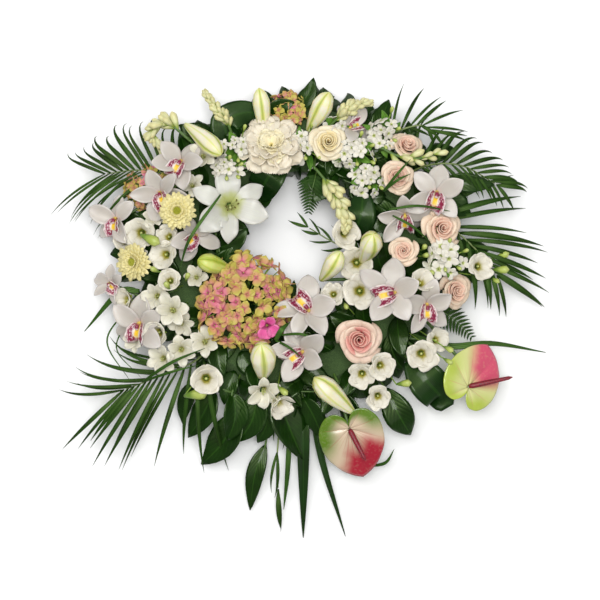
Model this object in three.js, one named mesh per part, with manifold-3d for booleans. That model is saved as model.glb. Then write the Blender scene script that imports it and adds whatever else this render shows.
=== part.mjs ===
// A funeral wreath lying on its back: a wet foam ring in a plastic tray, dressed all round with
// palm, aspidistra, salal and fern, and with orchids, lilies, roses and smaller flowers. Every
// flower and leaf stands on its own cut stem, pushed into a hole in the foam.
//
// Units are millimetres and +Z is up. Places are given from the ring's centre, with Z from the
// surface that the tray rests on. At the end the group is moved so that its origin is at the
// middle of its bottom face.
import * as THREE from "three";
import { mergeVertices } from "three/addons/utils/BufferGeometryUtils.js";
import Module from "manifold-3d";

const wasm = await Module();
wasm.setup();

// Driving dimensions.
const RING_RADIUS = 168; // centre line of the ring
const RING_SEGMENTS = 32;
const TRAY_WIDTH = 104;
const TRAY_HEIGHT = 16;
const TRAY_WALL = 2.4;
const FOAM_HEIGHT = 52;
const GAP = 0.4; // between any two pieces that touch
const STEM_RADIUS = 2.6;
const STEM_SIDES = 5;
const STEM_DEPTH = 28; // how deep a cut stem stands in the foam
const FOOT_SHARE = 0.4; // how far a stem's foot follows its head off the centre line
const SPIKE_BUDS = 8;

const FOAM_FLOOR = TRAY_WALL + GAP;
const FOAM_TOP = FOAM_FLOOR + FOAM_HEIGHT;
const FOAM_HALF = TRAY_WIDTH / 2 - TRAY_WALL - GAP;

const COLOURS = {
  tray: [0x2f4a33, 0.45],
  foam: [0x4f6b3a, 0.95],
  palm: [0x35592a, 0.5],
  leaf: [0x21451c, 0.35],
  fern: [0x24481f, 0.6],
  orchid: [0xe6dcd8, 0.5],
  lily: [0xe9e8dc, 0.45],
  bud: [0xdfe0a8, 0.45],
  rose: [0xeccdb8, 0.6],
  pink_rose: [0xe2a9a0, 0.6],
  cream: [0xf0e2c4, 0.6],
  yellow: [0xefe29a, 0.7],
  hydrangea: [0xc79a86, 0.7],
  anthurium: [0xb9c47a, 0.3],
  white: [0xeeeae2, 0.6],
};

// ---------------------------------------------------------------------------------- shapes

const vec = (a) => new THREE.Vector3(...a);

// The position-only, merged copy of a geometry, which is what a solid is made from.
function bare(geometry) {
  geometry.deleteAttribute("normal");
  geometry.deleteAttribute("uv");
  return mergeVertices(geometry, 1e-3);
}

// A blade along a smooth line through `points`, pointed at both ends. Its half width and half
// thickness are numbers or functions of the share t of its length, and `cup` lifts its edges.
function sweep(points, { half, thick, sides = 4, steps = 4, up = [0, 1, 0], cup = 0 }) {
  const curve = new THREE.CatmullRomCurve3(points.map(vec));
  const rings = [...Array(steps - 1).keys()].map((i) => [1, (i + 1) / steps]);
  const geometry = turned([[0, 0], ...rings, [0, 1]], sides);
  const place = geometry.attributes.position;
  const value = (v, t) => (typeof v === "function" ? v(t) : v);
  for (let i = 0; i < place.count; i++) {
    const [x, y, z] = [place.getX(i), place.getY(i), place.getZ(i)];
    const t = THREE.MathUtils.clamp(y, 0, 1);
    const along = curve.getTangent(t);
    const across = along.clone().cross(vec(up)).normalize();
    const out = across.clone().cross(along);
    const p = curve.getPoint(t);
    p.addScaledVector(across, x * value(half, t));
    p.addScaledVector(out, z * value(thick, t) + cup * x * x);
    place.setXYZ(i, p.x, p.y, p.z);
  }
  return geometry;
}

// A stem of one radius along a smooth line through `points`.
function stem(points, radius, steps = 2) {
  const ring = [...Array(STEM_SIDES).keys()].map((i) => {
    const a = (i / STEM_SIDES) * 2 * Math.PI;
    return new THREE.Vector2(radius * Math.cos(a), radius * Math.sin(a));
  });
  const extrudePath = new THREE.CatmullRomCurve3(points.map(vec));
  const options = { steps, bevelEnabled: false, extrudePath };
  return bare(new THREE.ExtrudeGeometry(new THREE.Shape(ring), options));
}

// A solid of revolution about Y, from [radius, height] pairs that start and end on the axis.
function turned(profile, segments) {
  const points = profile.map(([r, y]) => new THREE.Vector2(Math.max(r, 0), y));
  return bare(new THREE.LatheGeometry(points, segments));
}

// A turned head, from a profile given as shares of its radius.
const head = (radius, segments, shares) =>
  turned(shares.map(([r, y]) => [r * radius, y * radius]), segments);

// A turned head of separate petals: its profile, whose radii are shares and whose heights are in
// millimetres, is drawn in between each two petals to `waist` of its radius. One petal is at 90
// degrees, and each takes four segments.
function lobed(radius, petals, waist, profile) {
  const geometry = turned(profile.map(([r, y]) => [r * radius, y]), petals * 4);
  const place = geometry.attributes.position;
  for (let i = 0; i < place.count; i++) {
    const [x, z] = [place.getX(i), place.getZ(i)];
    const r = Math.hypot(x, z);
    const lobe = Math.abs(Math.cos(((Math.atan2(-z, x) - Math.PI / 2) * petals) / 2)) ** 0.4;
    const edge = THREE.MathUtils.smoothstep(r, radius * 0.2, radius * 0.9);
    const share = 1 - (1 - waist) * (1 - lobe) * edge;
    place.setX(i, x * share);
    place.setZ(i, z * share);
  }
  return geometry;
}

// The half width of a leaf or petal: nothing at its ends and full at the share `widest`.
const leafOutline = (width, widest = 0.5) => (t) => {
  const share = t < widest ? t / widest : (1 - t) / (1 - widest);
  return (width / 2) * Math.sqrt(Math.max(share * (2 - share), 0));
};

// Turns a part made about +Y to face a direction, spun by `spin` degrees, and puts it at `at`.
function facing(geometry, at, face, spin = 0) {
  const up = Math.sqrt(Math.max(1 - face[0] ** 2 - face[1] ** 2, 0));
  const turn = new THREE.Quaternion().setFromUnitVectors(vec([0, 1, 0]), vec([0, 0, 1]));
  const tilt = new THREE.Quaternion().setFromUnitVectors(vec([0, 0, 1]), vec([...face, up]));
  const twist = new THREE.Quaternion().setFromAxisAngle(vec([0, 0, 1]), (spin * Math.PI) / 180);
  const look = tilt.multiply(twist).multiply(turn);
  const whole = new THREE.Matrix4().compose(vec(at), look, vec([1, 1, 1]));
  return geometry.applyMatrix4(whole);
}

// A point `r` from the flower's axis at `degrees` round it, and `y` along it. At 90 degrees it is
// at the top of a flower that faces up with no spin.
function polar(r, degrees, y) {
  const a = (degrees * Math.PI) / 180;
  return [r * Math.cos(a), y, -r * Math.sin(a)];
}

// ---------------------------------------------------------------------------------- flowers
// Each takes its size and returns its closed shapes, made about +Y and joined later.

// Five tepals round a column, over a cupped lip.
function orchid(size) {
  const tepals = lobed(size, 5, 0.5, [[0, -5], [0.97, -1.5], [1, 1], [0, 3]]);
  const lip = sweep([polar(1, 270, 2), polar(size * 0.28, 270, 12), polar(size * 0.42, 270, 6)], {
    half: leafOutline(size * 0.42, 0.6),
    thick: 1.8,
    steps: 3,
    cup: 5,
  });
  return [tepals, lip];
}

// Six tepals that open from a trumpet, round a style.
function lily(size) {
  const funnel = [
    [0, -34], [0.08, -32], [0.25, -14], [0.6, 0], [0.98, -3], [1, -0.5], [0.55, 4], [0, -10],
  ];
  return [lobed(size, 6, 0.5, funnel), stem([[0, -20, 0], [0, 0, 0], [1, 16, 1]], 2, 1)];
}

// A closed lily bud: a long body, widest past its middle, with a blunt tip. Its size is its length.
const budShares = [
  [0, -1], [0.13, -0.96], [0.29, -0.5], [0.39, 0.1], [0.34, 0.6], [0.13, 0.96], [0, 1],
];
const lilyBud = (size) => [head(size / 2, 8, budShares)];

// A rose: a cup of outer petals round a raised heart.
const roseShares = [
  [0, -0.95], [0.45, -0.85], [0.85, -0.35], [1, 0.12], [0.9, 0.2],
  [0.72, 0.1], [0.5, 0.32], [0.2, 0.3], [0, 0.18],
];
const rose = (size) => [head(size, 10, roseShares)];

// A lisianthus: a ruffled funnel.
const funnelShares = [
  [0, -1.25], [0.3, -1.1], [0.55, -0.5], [1, 0.02], [0.92, 0.16], [0.45, -0.1], [0, -0.35],
];
const lisianthus = (size) => [head(size, 8, funnelShares)];

// A chrysanthemum: a low dome of rays round a sunken eye.
const domeShares = [
  [0, -0.4], [0.5, -0.36], [1, -0.02], [0.92, 0.16], [0.5, 0.3], [0.28, 0.22], [0, 0.16],
];
const chrysanthemum = (size) => [head(size, 12, domeShares)];

// A peony: a broad, soft bowl.
const bowlShares = [[0, -0.6], [0.55, -0.5], [1, 0], [0.9, 0.16], [0.62, 0.14], [0.4, 0.36], [0, 0.3]];
const peony = (size) => [head(size, 12, bowlShares)];

// A freesia: a small trumpet with a long tube below it.
const trumpetShares = [[0, -2], [0.22, -1.9], [0.3, -0.6], [1, 0.1], [0.9, 0.22], [0, -0.15]];
const trumpet = (size) => [head(size, 6, trumpetShares)];

// A mop head: many florets as one knobbly dome.
function mophead(size) {
  const geometry = bare(new THREE.IcosahedronGeometry(size, 2));
  const place = geometry.attributes.position;
  const waves = 0.17;
  for (let i = 0; i < place.count; i++) {
    const p = new THREE.Vector3().fromBufferAttribute(place, i);
    const knob = 1 + 0.06 * Math.sin(p.x * waves) * Math.sin(p.y * waves + 1) * Math.cos(p.z * waves);
    p.multiplyScalar(knob);
    place.setXYZ(i, p.x, p.y * 0.5, p.z);
  }
  return [geometry];
}

// A heart-shaped spathe with its spadix, which leans towards the spathe's tip.
function anthurium(size) {
  const w = size / 2;
  const heart = new THREE.Shape();
  heart.moveTo(0, w * 0.62);
  heart.bezierCurveTo(w * 0.1, w * 1.15, w * 1.05, w * 1.1, w, w * 0.2);
  heart.bezierCurveTo(w * 0.95, -w * 0.55, w * 0.4, -w * 0.95, 0, -w * 1.35);
  heart.bezierCurveTo(-w * 0.4, -w * 0.95, -w * 0.95, -w * 0.55, -w, w * 0.2);
  heart.bezierCurveTo(-w * 1.05, w * 1.1, -w * 0.1, w * 1.15, 0, w * 0.62);
  const depth = 2.4;
  const spathe = bare(new THREE.ExtrudeGeometry(heart, { depth, bevelEnabled: false, curveSegments: 5 }));
  spathe.translate(0, 0, -depth / 2).rotateX(-Math.PI / 2);
  const spadix = stem([[0, -1, -w * 0.4], [0, 12, -w * 0.1], [0, 30, w * 0.5]], 3.8, 3);
  return [spathe, spadix];
}

// ---------------------------------------------------------------------------------- stems

// Where the stem of a head at (x, y) stands in the foam.
function footOf([x, y], shift = 0) {
  const r = Math.hypot(x, y);
  const foot = RING_RADIUS + THREE.MathUtils.clamp(FOOT_SHARE * (r - RING_RADIUS), -36, 36);
  const a = Math.atan2(y, x) + shift / foot;
  return [foot * Math.cos(a), foot * Math.sin(a)];
}

// A stem's line from deep in the foam, out of its top, and on to the back of a head.
function stemLine(at, face, back, shift = 0) {
  const [fx, fy] = footOf(at, shift);
  const up = Math.sqrt(Math.max(1 - face[0] ** 2 - face[1] ** 2, 0));
  const end = [at[0] - face[0] * back, at[1] - face[1] * back, at[2] - up * back];
  const lean = 0.15;
  const mid = [fx + (end[0] - fx) * lean, fy + (end[1] - fy) * lean, FOAM_TOP + 2];
  return [[fx, fy, FOAM_TOP - STEM_DEPTH], mid, end];
}

// The same for a leaf or spike that starts at `start` and goes on to `next`.
function stalkLine(start, next, shift = 0) {
  const foot = [...footOf(start, shift), FOAM_TOP - STEM_DEPTH];
  const middle = foot.map((v, k) => v + 0.45 * (start[k] - v));
  middle[2] += 6;
  return [foot, middle, start, start.map((v, k) => v + 0.12 * (next[k] - v))];
}

// ---------------------------------------------------------------------------------- foliage

// A palm frond: a rachis through `points`, with leaflets in pairs along its outer part. `left`
// and `right` give each side's longest leaflet, and `angle` how far they open off the rachis.
function frond({ points, pairs, left, right, angle = 42, droop = 0.22, from = 0.38 }) {
  const curve = new THREE.CatmullRomCurve3(points.map(vec));
  const leaflet = (t, side, longest) => {
    const base = curve.getPoint(t);
    const along = curve.getTangent(t).setZ(0).normalize();
    const open = THREE.MathUtils.degToRad(angle * (1.25 - 0.55 * t) * side);
    const out = along.applyAxisAngle(vec([0, 0, 1]), open);
    const length = longest * (0.72 + 0.28 * Math.sin(Math.PI * Math.min(t + 0.12, 1)));
    const tip = base.clone().addScaledVector(out, length);
    tip.z = Math.max(base.z - droop * length, 6);
    const bend = base.clone().lerp(tip, 0.4);
    bend.z += 0.09 * length;
    const root = base.clone().addScaledVector(out, -6);
    const path = [root, bend, tip].map((p) => p.toArray());
    return sweep(path, { half: 4.2, thick: 1.4, sides: 3, steps: 2, up: [0, 0, 1] });
  };
  const heads = [];
  for (let i = 0; i < pairs; i++) {
    const t = from + ((0.98 - from) * i) / (pairs - 1);
    heads.push(leaflet(t, 1, left), leaflet(t - 0.02, -1, right));
  }
  return { stems: [stem(points, 2.1, 7)], heads };
}

// A fern tip: a rachis with pinnae in pairs, shorter towards the tip, in one plane.
function fern({ points, pairs = 6, longest }) {
  const curve = new THREE.CatmullRomCurve3(points.map(vec));
  const heads = [...Array(pairs * 2).keys()].map((i) => {
    const t = 0.45 + (0.5 * Math.floor(i / 2)) / (pairs - 1);
    const base = curve.getPoint(t);
    const along = curve.getTangent(t).setZ(0).normalize();
    const out = along.applyAxisAngle(vec([0, 0, 1]), THREE.MathUtils.degToRad(i % 2 ? 62 : -62));
    const tip = base.clone().addScaledVector(out, longest * (1.35 - 1.1 * t));
    const root = base.clone().addScaledVector(out, -5);
    const path = [root, base.clone().lerp(tip, 0.3), tip].map((p) => p.toArray());
    return sweep(path, { half: 4.5, thick: 1.4, sides: 3, steps: 2, up: [0, 0, 1] });
  });
  return { stems: [stem(points, 1.8, 5)], heads };
}

// A broad leaf on a stalk that stands in the foam. `points` is its midrib, from the stalk's end.
function leaf({ points, width, widest = 0.5, up = [0, 0, 1], steps = 5, cup = 2.5, foot = 0 }) {
  const blade = sweep(points, { half: leafOutline(width, widest), thick: 1.1, steps, up, cup });
  return { stems: [stem(stalkLine(points[0], points[1], foot), 1.7, 3)], heads: [blade] };
}

// A strap-shaped leaf of nearly one width, folded over to its tip.
function strap({ points, width, up = [0, 0, 1], steps = 7, foot = 0 }) {
  return leaf({ points, width, widest: 0.35, up, steps, cup: 0, foot });
}

// A branched sprig of broad leaves. Each row is one leaf's base and tip, as x, y, z, and its
// width. The first leaf's stalk stands in the foam, and the others leave it at its top.
function sprig(rows) {
  const ends = rows.map((row) => [row.slice(0, 3), row.slice(3, 6)]);
  const within = (base, tip, share) => base.map((v, k) => v + share * (tip[k] - v));
  const heads = ends.map(([base, tip], i) => {
    const middle = within(base, tip, 0.5);
    middle[2] += 4;
    const half = leafOutline(rows[i][6]);
    return sweep([base, middle, tip], { half, thick: 1.1, up: [0, 0, 1], cup: 2 });
  });
  const [fork, firstTip] = ends[0];
  const stems = ends.map(([base, tip], i) => {
    if (i === 0) {
      return stem([...stalkLine(fork, firstTip).slice(0, 3), within(fork, firstTip, 0.2)], 1.9, 3);
    }
    const middle = within(fork, base, 0.5);
    middle[2] += 3;
    return stem([fork, middle, within(base, tip, 0.15)], 1.5);
  });
  return { stems, heads };
}

// ---------------------------------------------------------------------------------- plants

const plants = [];

// One flower on one stem. `at` is its head's centre, `face` the level part of the direction that
// it faces, and `back` how far behind its centre the stem meets it.
function flower(name, make, colour, { at, face = [0, 0], size, spin = 0, back, shift = 0 }) {
  const heads = make(size).map((shape) => facing(shape, at, face, spin - 90));
  const stems = [stem(stemLine(at, face, back, shift), STEM_RADIUS)];
  plants.push({ name, colour, stems, heads });
}

// Several flowers on one branched stem: the first one's stem is the main one, and each of the
// others leaves it above the foam.
function spray(name, make, colour, size, back, blooms, radius = STEM_RADIUS) {
  const [main, ...others] = blooms.map(({ at, face = [0, 0] }) => stemLine(at, face, back));
  const fork = new THREE.CatmullRomCurve3(main.map(vec)).getPointAt(0.5).toArray();
  const stems = [stem(main, radius)];
  for (const [, , end] of others) {
    const middle = fork.map((v, k) => (v + end[k]) / 2);
    middle[2] = Math.max(fork[2], end[2]) - 6;
    stems.push(stem([fork, middle, end], radius * 0.8));
  }
  const heads = blooms.flatMap(({ at, face = [0, 0], spin = 0, scale = 1 }) =>
    make(size * scale).map((shape) => facing(shape, at, face, spin - 90)),
  );
  plants.push({ name, colour, stems, heads });
}

// A leaf or frond. Its blades give way to every stem and to the flowers' heads.
const foliage = (name, colour, { stems, heads }) => plants.push({ name, colour, stems, heads });

// A spike with buds round it, each a small spindle that points up it and outwards.
const spindleShares = [[0, -0.5], [0.16, -0.1], [0.13, 0.3], [0, 0.5]];
function spike(name, points, budLength) {
  const curve = new THREE.CatmullRomCurve3(points.map(vec));
  const bud = (i) => {
    const t = 0.14 + (0.84 * i) / (SPIKE_BUDS - 1);
    const along = curve.getTangent(t);
    const side = along.clone().cross(vec([0, 0, 1])).normalize().applyAxisAngle(along, i * 2.4);
    const way = along.clone().addScaledVector(side, 1.1 - 0.8 * t).normalize();
    const length = budLength * (1.15 - 0.35 * t);
    const centre = curve.getPoint(t).addScaledVector(way, length * 0.4);
    const turn = new THREE.Quaternion().setFromUnitVectors(vec([0, 1, 0]), way);
    const place = new THREE.Matrix4().compose(centre, turn, vec([1, 1, 1]));
    return head(length, 5, spindleShares).applyMatrix4(place);
  };
  const buds = [...Array(SPIKE_BUDS).keys()].map(bud);
  const stems = [stem(stalkLine(points[0], points[1]), 2.2)];
  plants.push({ name, colour: "bud", stems, heads: [stem(points, 2.2, 6), ...buds] });
}

// Roses.
const ROSE_BACK = 22;
flower("rose_pink", rose, "pink_rose", {
  at: [92, -138, 122], face: [0.05, -0.1], size: 35, back: 28,
});
flower("rose_right", rose, "rose", {
  at: [218, 30, 104], face: [0.22, 0.04], size: 31, back: 25, shift: -4,
});
flower("rose_upper_right", rose, "rose", {
  at: [150, 107, 116], face: [0.12, 0.1], size: 26, back: ROSE_BACK,
});
flower("rose_top_right", rose, "rose", {
  at: [166, 158, 92], face: [0.3, 0.5], size: 25, back: ROSE_BACK,
});
flower("rose_inner_right", rose, "rose", {
  at: [157, -4, 118], face: [-0.1, 0.05], size: 22, back: 19,
});
flower("rose_far_right", rose, "rose", {
  at: [241, -64, 84], face: [0.5, -0.05], size: 27, back: ROSE_BACK,
});
flower("rose_cream", rose, "cream", {
  at: [46, 160, 104], face: [0.05, 0.12], size: 26, back: ROSE_BACK,
});

// Cymbidium orchids, most of them two to a stem.
const ORCHID_BACK = 2;
spray("orchid_spray_centre", orchid, "orchid", 53, ORCHID_BACK, [
  { at: [4, -157, 108], face: [-0.12, -0.1], spin: 35 },
  { at: [13, -92, 112], face: [0.05, 0.22], spin: -45 },
]);
spray("orchid_spray_right", orchid, "orchid", 54, ORCHID_BACK, [
  { at: [140, -68, 128], face: [-0.05, 0.02], spin: 15 },
  { at: [192, -87, 112], face: [0.15, -0.15], spin: 90, scale: 0.86 },
]);
spray("orchid_spray_upper_right", orchid, "orchid", 47, ORCHID_BACK, [
  { at: [206, 80, 106], face: [0.15, 0.05], spin: 75 },
  { at: [160, 48, 100], face: [0.05, -0.55], spin: 90, scale: 0.9 },
]);
spray("orchid_spray_upper_left", orchid, "orchid", 50, ORCHID_BACK, [
  { at: [-176, 127, 104], face: [-0.1, 0.2], spin: 60 },
  { at: [-205, 80, 98], face: [-0.3, 0.1], spin: 110, scale: 0.92 },
  { at: [-274, 42, 74], face: [-0.5, 0.1], spin: 90, scale: 0.88 },
]);
spray("orchid_spray_left", orchid, "orchid", 47, ORCHID_BACK, [
  { at: [-238, -116, 78], face: [-0.4, -0.05], spin: 80 },
  { at: [-283, -54, 62], face: [-0.7, 0], spin: 150, scale: 0.75 },
]);

// Lilies.
flower("lily_open", lily, "lily", {
  at: [-101, 66, 112], face: [0.1, 0.05], size: 54, spin: 35, back: 33,
});
const lilyBudAt = (name, at, face, size, shift = 0) =>
  flower(name, lilyBud, "bud", { at, face, size, back: size / 2 - 1, shift });
lilyBudAt("lily_bud_top", [-56, 206, 80], [-0.07, 0.88], 70);
lilyBudAt("lily_bud_top_right", [31, 205, 86], [0.42, 0.74], 76);
lilyBudAt("lily_bud_top_left", [-142, 162, 112], [0.66, -0.58], 84, -14);
lilyBudAt("lily_bud_inner_right", [104, 0, 104], [0.2, 0.5], 78);
lilyBudAt("lily_bud_inner", [49, -27, 92], [0.46, 0.66], 64, 20);
lilyBudAt("lily_bud_green", [-125, -25, 102], [-0.72, 0.25], 52);
lilyBudAt("lily_bud_lower", [-54, -170, 112], [0, 0.6], 88);
lilyBudAt("lily_bud_lower_right", [54, -221, 94], [-0.68, 0.62], 88, 6);

// The other large heads.
flower("hydrangea_head", mophead, "hydrangea", {
  at: [-79, -80, 92], face: [0.05, 0.08], size: 68, back: 30,
});
flower("peony", peony, "cream", {
  at: [-40, 158, 96], face: [0, 0.45], size: 44, back: 22,
});
flower("chrysanthemum_upper", chrysanthemum, "yellow", {
  at: [-180, 55, 124], face: [0, 0], size: 28, back: 10, shift: -26,
});
flower("chrysanthemum_left", chrysanthemum, "yellow", {
  at: [-247, -21, 98], face: [-0.45, -0.05], size: 28, back: 10,
});
flower("anthurium_right", anthurium, "anthurium", {
  at: [261, -203, 66], face: [0.12, -0.2], size: 84, spin: 255, back: 1, shift: 30,
});
flower("anthurium_lower", anthurium, "anthurium", {
  at: [80, -288, 70], face: [0.02, -0.3], size: 90, spin: 105, back: 1,
});

// Lisianthus and freesia sprays.
spray("lisianthus_spray_lower", lisianthus, "white", 19, 22, [
  { at: [96, -190, 98], face: [-0.05, -0.2] },
  { at: [125, -177, 102], face: [0.25, -0.1] },
  { at: [121, -224, 86], face: [0.1, -0.25], scale: 0.9 },
]);
spray("lisianthus_spray_inner", lisianthus, "white", 18, 20, [
  { at: [92, -64, 98], face: [-0.05, 0.05], scale: 1.15 },
  { at: [53, -69, 88], face: [-0.1, 0.1], scale: 0.85 },
]);
spray("lisianthus_spray_right", lisianthus, "white", 22, 25, [
  { at: [186, -160, 92], face: [0.05, -0.15] },
  { at: [210, -138, 84], face: [0.4, 0.1], scale: 0.8 },
]);
flower("lisianthus_lower_left", lisianthus, "white", {
  at: [-138, -197, 94], face: [0.05, -0.1], size: 24, back: 27,
});
spray("freesia_spray_left", trumpet, "white", 24, 36, [
  { at: [-189, -92, 112], face: [-0.1, 0.1] },
  { at: [-140, -140, 100], face: [0, 0.1], scale: 0.9 },
  { at: [-206, -168, 88], face: [-0.25, -0.15], scale: 0.9 },
], 2);

// Tuberose spikes.
spike("tuberose_top_left", [[-160, 160, 84], [-195, 187, 88], [-218, 176, 84], [-204, 146, 80]], 17);
spike("tuberose_inner", [[24, 122, 96], [48, 92, 104], [66, 58, 102], [71, 38, 98]], 18);

// Leaves. The lowest ones lie out from the ring, and the folded ones stand over its rim.
foliage("aspidistra_top_left", "leaf", strap({
  points: [[-98, 150, 66], [-110, 188, 76], [-78, 206, 72], [-36, 196, 62]], width: 52,
}));
foliage("aspidistra_fold_inner", "leaf", strap({
  points: [[-20, 144, 78], [-44, 108, 88], [-58, 88, 66], [-66, 104, 48]], width: 50, up: [-0.3, -0.3, 1],
}));
foliage("aspidistra_fold_right", "leaf", strap({
  points: [[98, 86, 84], [94, 48, 92], [82, 22, 74], [80, 40, 56]], width: 46, up: [0, -0.4, 1],
}));
foliage("aspidistra_lower_right", "leaf", strap({
  points: [[168, -168, 70], [196, -202, 78], [216, -226, 60], [190, -222, 42]], width: 58,
}));
foliage("strap_leaf_centre", "leaf", strap({
  points: [[6, -214, 46], [8, -310, 44], [8, -444, 10]], width: 20, foot: 4,
}));
foliage("strap_leaf_right", "leaf", strap({
  points: [[18, -214, 40], [36, -320, 38], [73, -442, 10]], width: 11,
}));
foliage("salal_leaf_hanging", "leaf", leaf({
  points: [[-50, -300, 26], [-66, -345, 26], [-74, -402, 10]], width: 28, widest: 0.62,
}));
foliage("rose_leaf_lower_right", "leaf", leaf({
  points: [[132, -212, 58], [154, -254, 60], [172, -284, 38]], width: 46,
}));
foliage("salal_sprig_lower_left", "leaf", sprig([
  [-100, -218, 62, -108, -292, 48, 40],
  [-128, -214, 50, -168, -288, 34, 40],
  [-90, -246, 46, -148, -330, 26, 50],
  [-156, -200, 54, -176, -268, 36, 26],
]));
foliage("salal_sprig_bottom", "leaf", sprig([
  [-34, -216, 60, 8, -322, 42, 54],
  [-48, -222, 52, -62, -296, 38, 40],
  [8, -226, 56, 38, -290, 44, 38],
  [66, -218, 50, 84, -300, 32, 34],
]));
foliage("salal_sprig_inner_left", "leaf", sprig([
  [-126, 34, 66, -74, 22, 58, 36],
  [-122, -12, 62, -72, -30, 54, 34],
  [-132, 66, 68, -92, 62, 62, 30],
  [-112, -46, 60, -60, -62, 48, 34],
]));
foliage("salal_sprig_inner_lower", "leaf", sprig([
  [-16, -118, 62, -6, -48, 60, 24],
  [20, -116, 66, 34, -60, 60, 30],
  [-46, -106, 60, -36, -60, 52, 28],
  [64, -98, 62, 62, -52, 58, 28],
]));
foliage("salal_sprig_upper_right", "leaf", sprig([
  [216, 84, 66, 262, 52, 62, 42],
  [222, 104, 70, 298, 96, 66, 30],
  [190, 134, 62, 240, 150, 58, 32],
]));
foliage("salal_sprig_right", "leaf", sprig([
  [230, -14, 60, 292, 0, 48, 40],
  [232, -36, 58, 286, -46, 46, 38],
]));
foliage("salal_sprig_left", "leaf", sprig([
  [-220, 30, 60, -282, 68, 54, 38],
  [-226, 4, 58, -286, -8, 44, 38],
  [-202, 78, 60, -262, 98, 58, 34],
]));
foliage("fern_inner", "fern", fern({
  points: [[32, 140, 26], [27, 112, 68], [20, 82, 72], [16, 54, 62]], longest: 34,
}));
foliage("fern_right", "fern", fern({
  points: [[172, -72, 26], [206, -88, 60], [240, -110, 58], [266, -136, 42]], longest: 36,
}));

// Palm fronds.
foliage("palm_frond_upper_left", "palm", frond({
  points: [[-138, 78, 26], [-178, 106, 54], [-238, 126, 76], [-300, 127, 72]],
  pairs: 9, left: 128, right: 72, angle: 46,
}));
foliage("palm_frond_lower_left", "palm", frond({
  points: [[-112, -112, 26], [-150, -166, 64], [-212, -194, 70], [-268, -216, 54]],
  pairs: 10, left: 150, right: 118, angle: 38,
}));
foliage("palm_frond_upper_right", "palm", frond({
  points: [[100, 120, 26], [136, 168, 66], [182, 186, 74], [206, 176, 68]],
  pairs: 7, left: 62, right: 40, angle: 46,
}));
foliage("palm_frond_right", "palm", frond({
  points: [[140, 86, 26], [184, 122, 66], [244, 126, 74], [306, 95, 58]],
  pairs: 10, left: 66, right: 46, angle: 44,
}));
foliage("palm_frond_lower_right", "palm", frond({
  points: [[158, 58, 26], [206, 50, 60], [262, 6, 66], [306, -44, 52]],
  pairs: 9, left: 118, right: 92, angle: 40,
}));
foliage("palm_frond_inner", "palm", frond({
  points: [[140, -34, 26], [104, -12, 62], [56, 8, 72], [12, 34, 64]],
  pairs: 6, left: 36, right: 22, angle: 44,
}));
foliage("palm_frond_bottom", "palm", frond({
  points: [[-14, -168, 26], [-24, -238, 50], [-32, -318, 40], [-30, -372, 22]],
  pairs: 6, left: 44, right: 44, angle: 26,
}));

// ---------------------------------------------------------------------------------- solids

// A geometry as a manifold-3d solid.
function solid(geometry) {
  const merged = mergeVertices(geometry, 1e-3);
  const mesh = new wasm.Mesh({
    numProp: 3,
    vertProperties: merged.attributes.position.array,
    triVerts: new Uint32Array(merged.index.array),
  });
  return new wasm.Manifold(mesh);
}

// Several shapes as one solid, or nothing where there are none.
const join = (shapes) => shapes.map(solid).reduce((whole, one) => (whole ? whole.add(one) : one), null);

// A copy of a shape that is larger by the gap on every side, which is the room it needs. Each
// corner moves along the mean of its faces' normals, weighted by their angles there.
function roomFor(shape) {
  const room = shape.clone();
  const place = room.attributes.position;
  const corner = (id) => new THREE.Vector3().fromBufferAttribute(place, id);
  const ways = [...Array(place.count)].map(() => new THREE.Vector3());
  for (let f = 0; f < room.index.count; f += 3) {
    const ids = [0, 1, 2].map((k) => room.index.getX(f + k));
    const [a, b, c] = ids.map(corner);
    const normal = b.clone().sub(a).cross(c.clone().sub(a)).normalize();
    ids.forEach((id, k) => {
      const here = corner(id);
      const one = corner(ids[(k + 1) % 3]).sub(here);
      const two = corner(ids[(k + 2) % 3]).sub(here);
      ways[id].addScaledVector(normal, one.angleTo(two));
    });
  }
  ways.forEach((way, id) => {
    const p = corner(id).addScaledVector(way.normalize(), GAP * Math.SQRT2);
    place.setXYZ(id, p.x, p.y, p.z);
  });
  return room;
}

// Whether two solids' boxes meet.
function near(a, b) {
  const [p, q] = [a.boundingBox(), b.boundingBox()];
  return [0, 1, 2].every((k) => p.min[k] < q.max[k] && q.min[k] < p.max[k]);
}

// A solid less every one of `others` that is near it.
function clearOf(body, others) {
  const close = others.filter((other) => other && near(body, other));
  return close.reduce((left, other) => left.subtract(other), body);
}

// The largest of the pieces that a solid has been cut into.
function largest(body) {
  return body.decompose().reduce((most, one) => (one.volume() > most.volume() ? one : most));
}

// A solid as a three.js geometry.
function geometryOf(body) {
  const mesh = body.getMesh();
  const geometry = new THREE.BufferGeometry();
  geometry.setAttribute("position", new THREE.BufferAttribute(new Float32Array(mesh.vertProperties), 3));
  geometry.setIndex(new THREE.BufferAttribute(new Uint32Array(mesh.triVerts), 1));
  geometry.computeVertexNormals();
  return geometry;
}

function material(kind) {
  const [color, roughness] = COLOURS[kind];
  return new THREE.MeshStandardMaterial({ color, roughness, metalness: 0, name: kind });
}

const wreath = new THREE.Group();
function addMesh(name, geometry, colour) {
  const mesh = new THREE.Mesh(geometry, material(colour));
  mesh.name = name;
  wreath.add(mesh);
}

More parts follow.
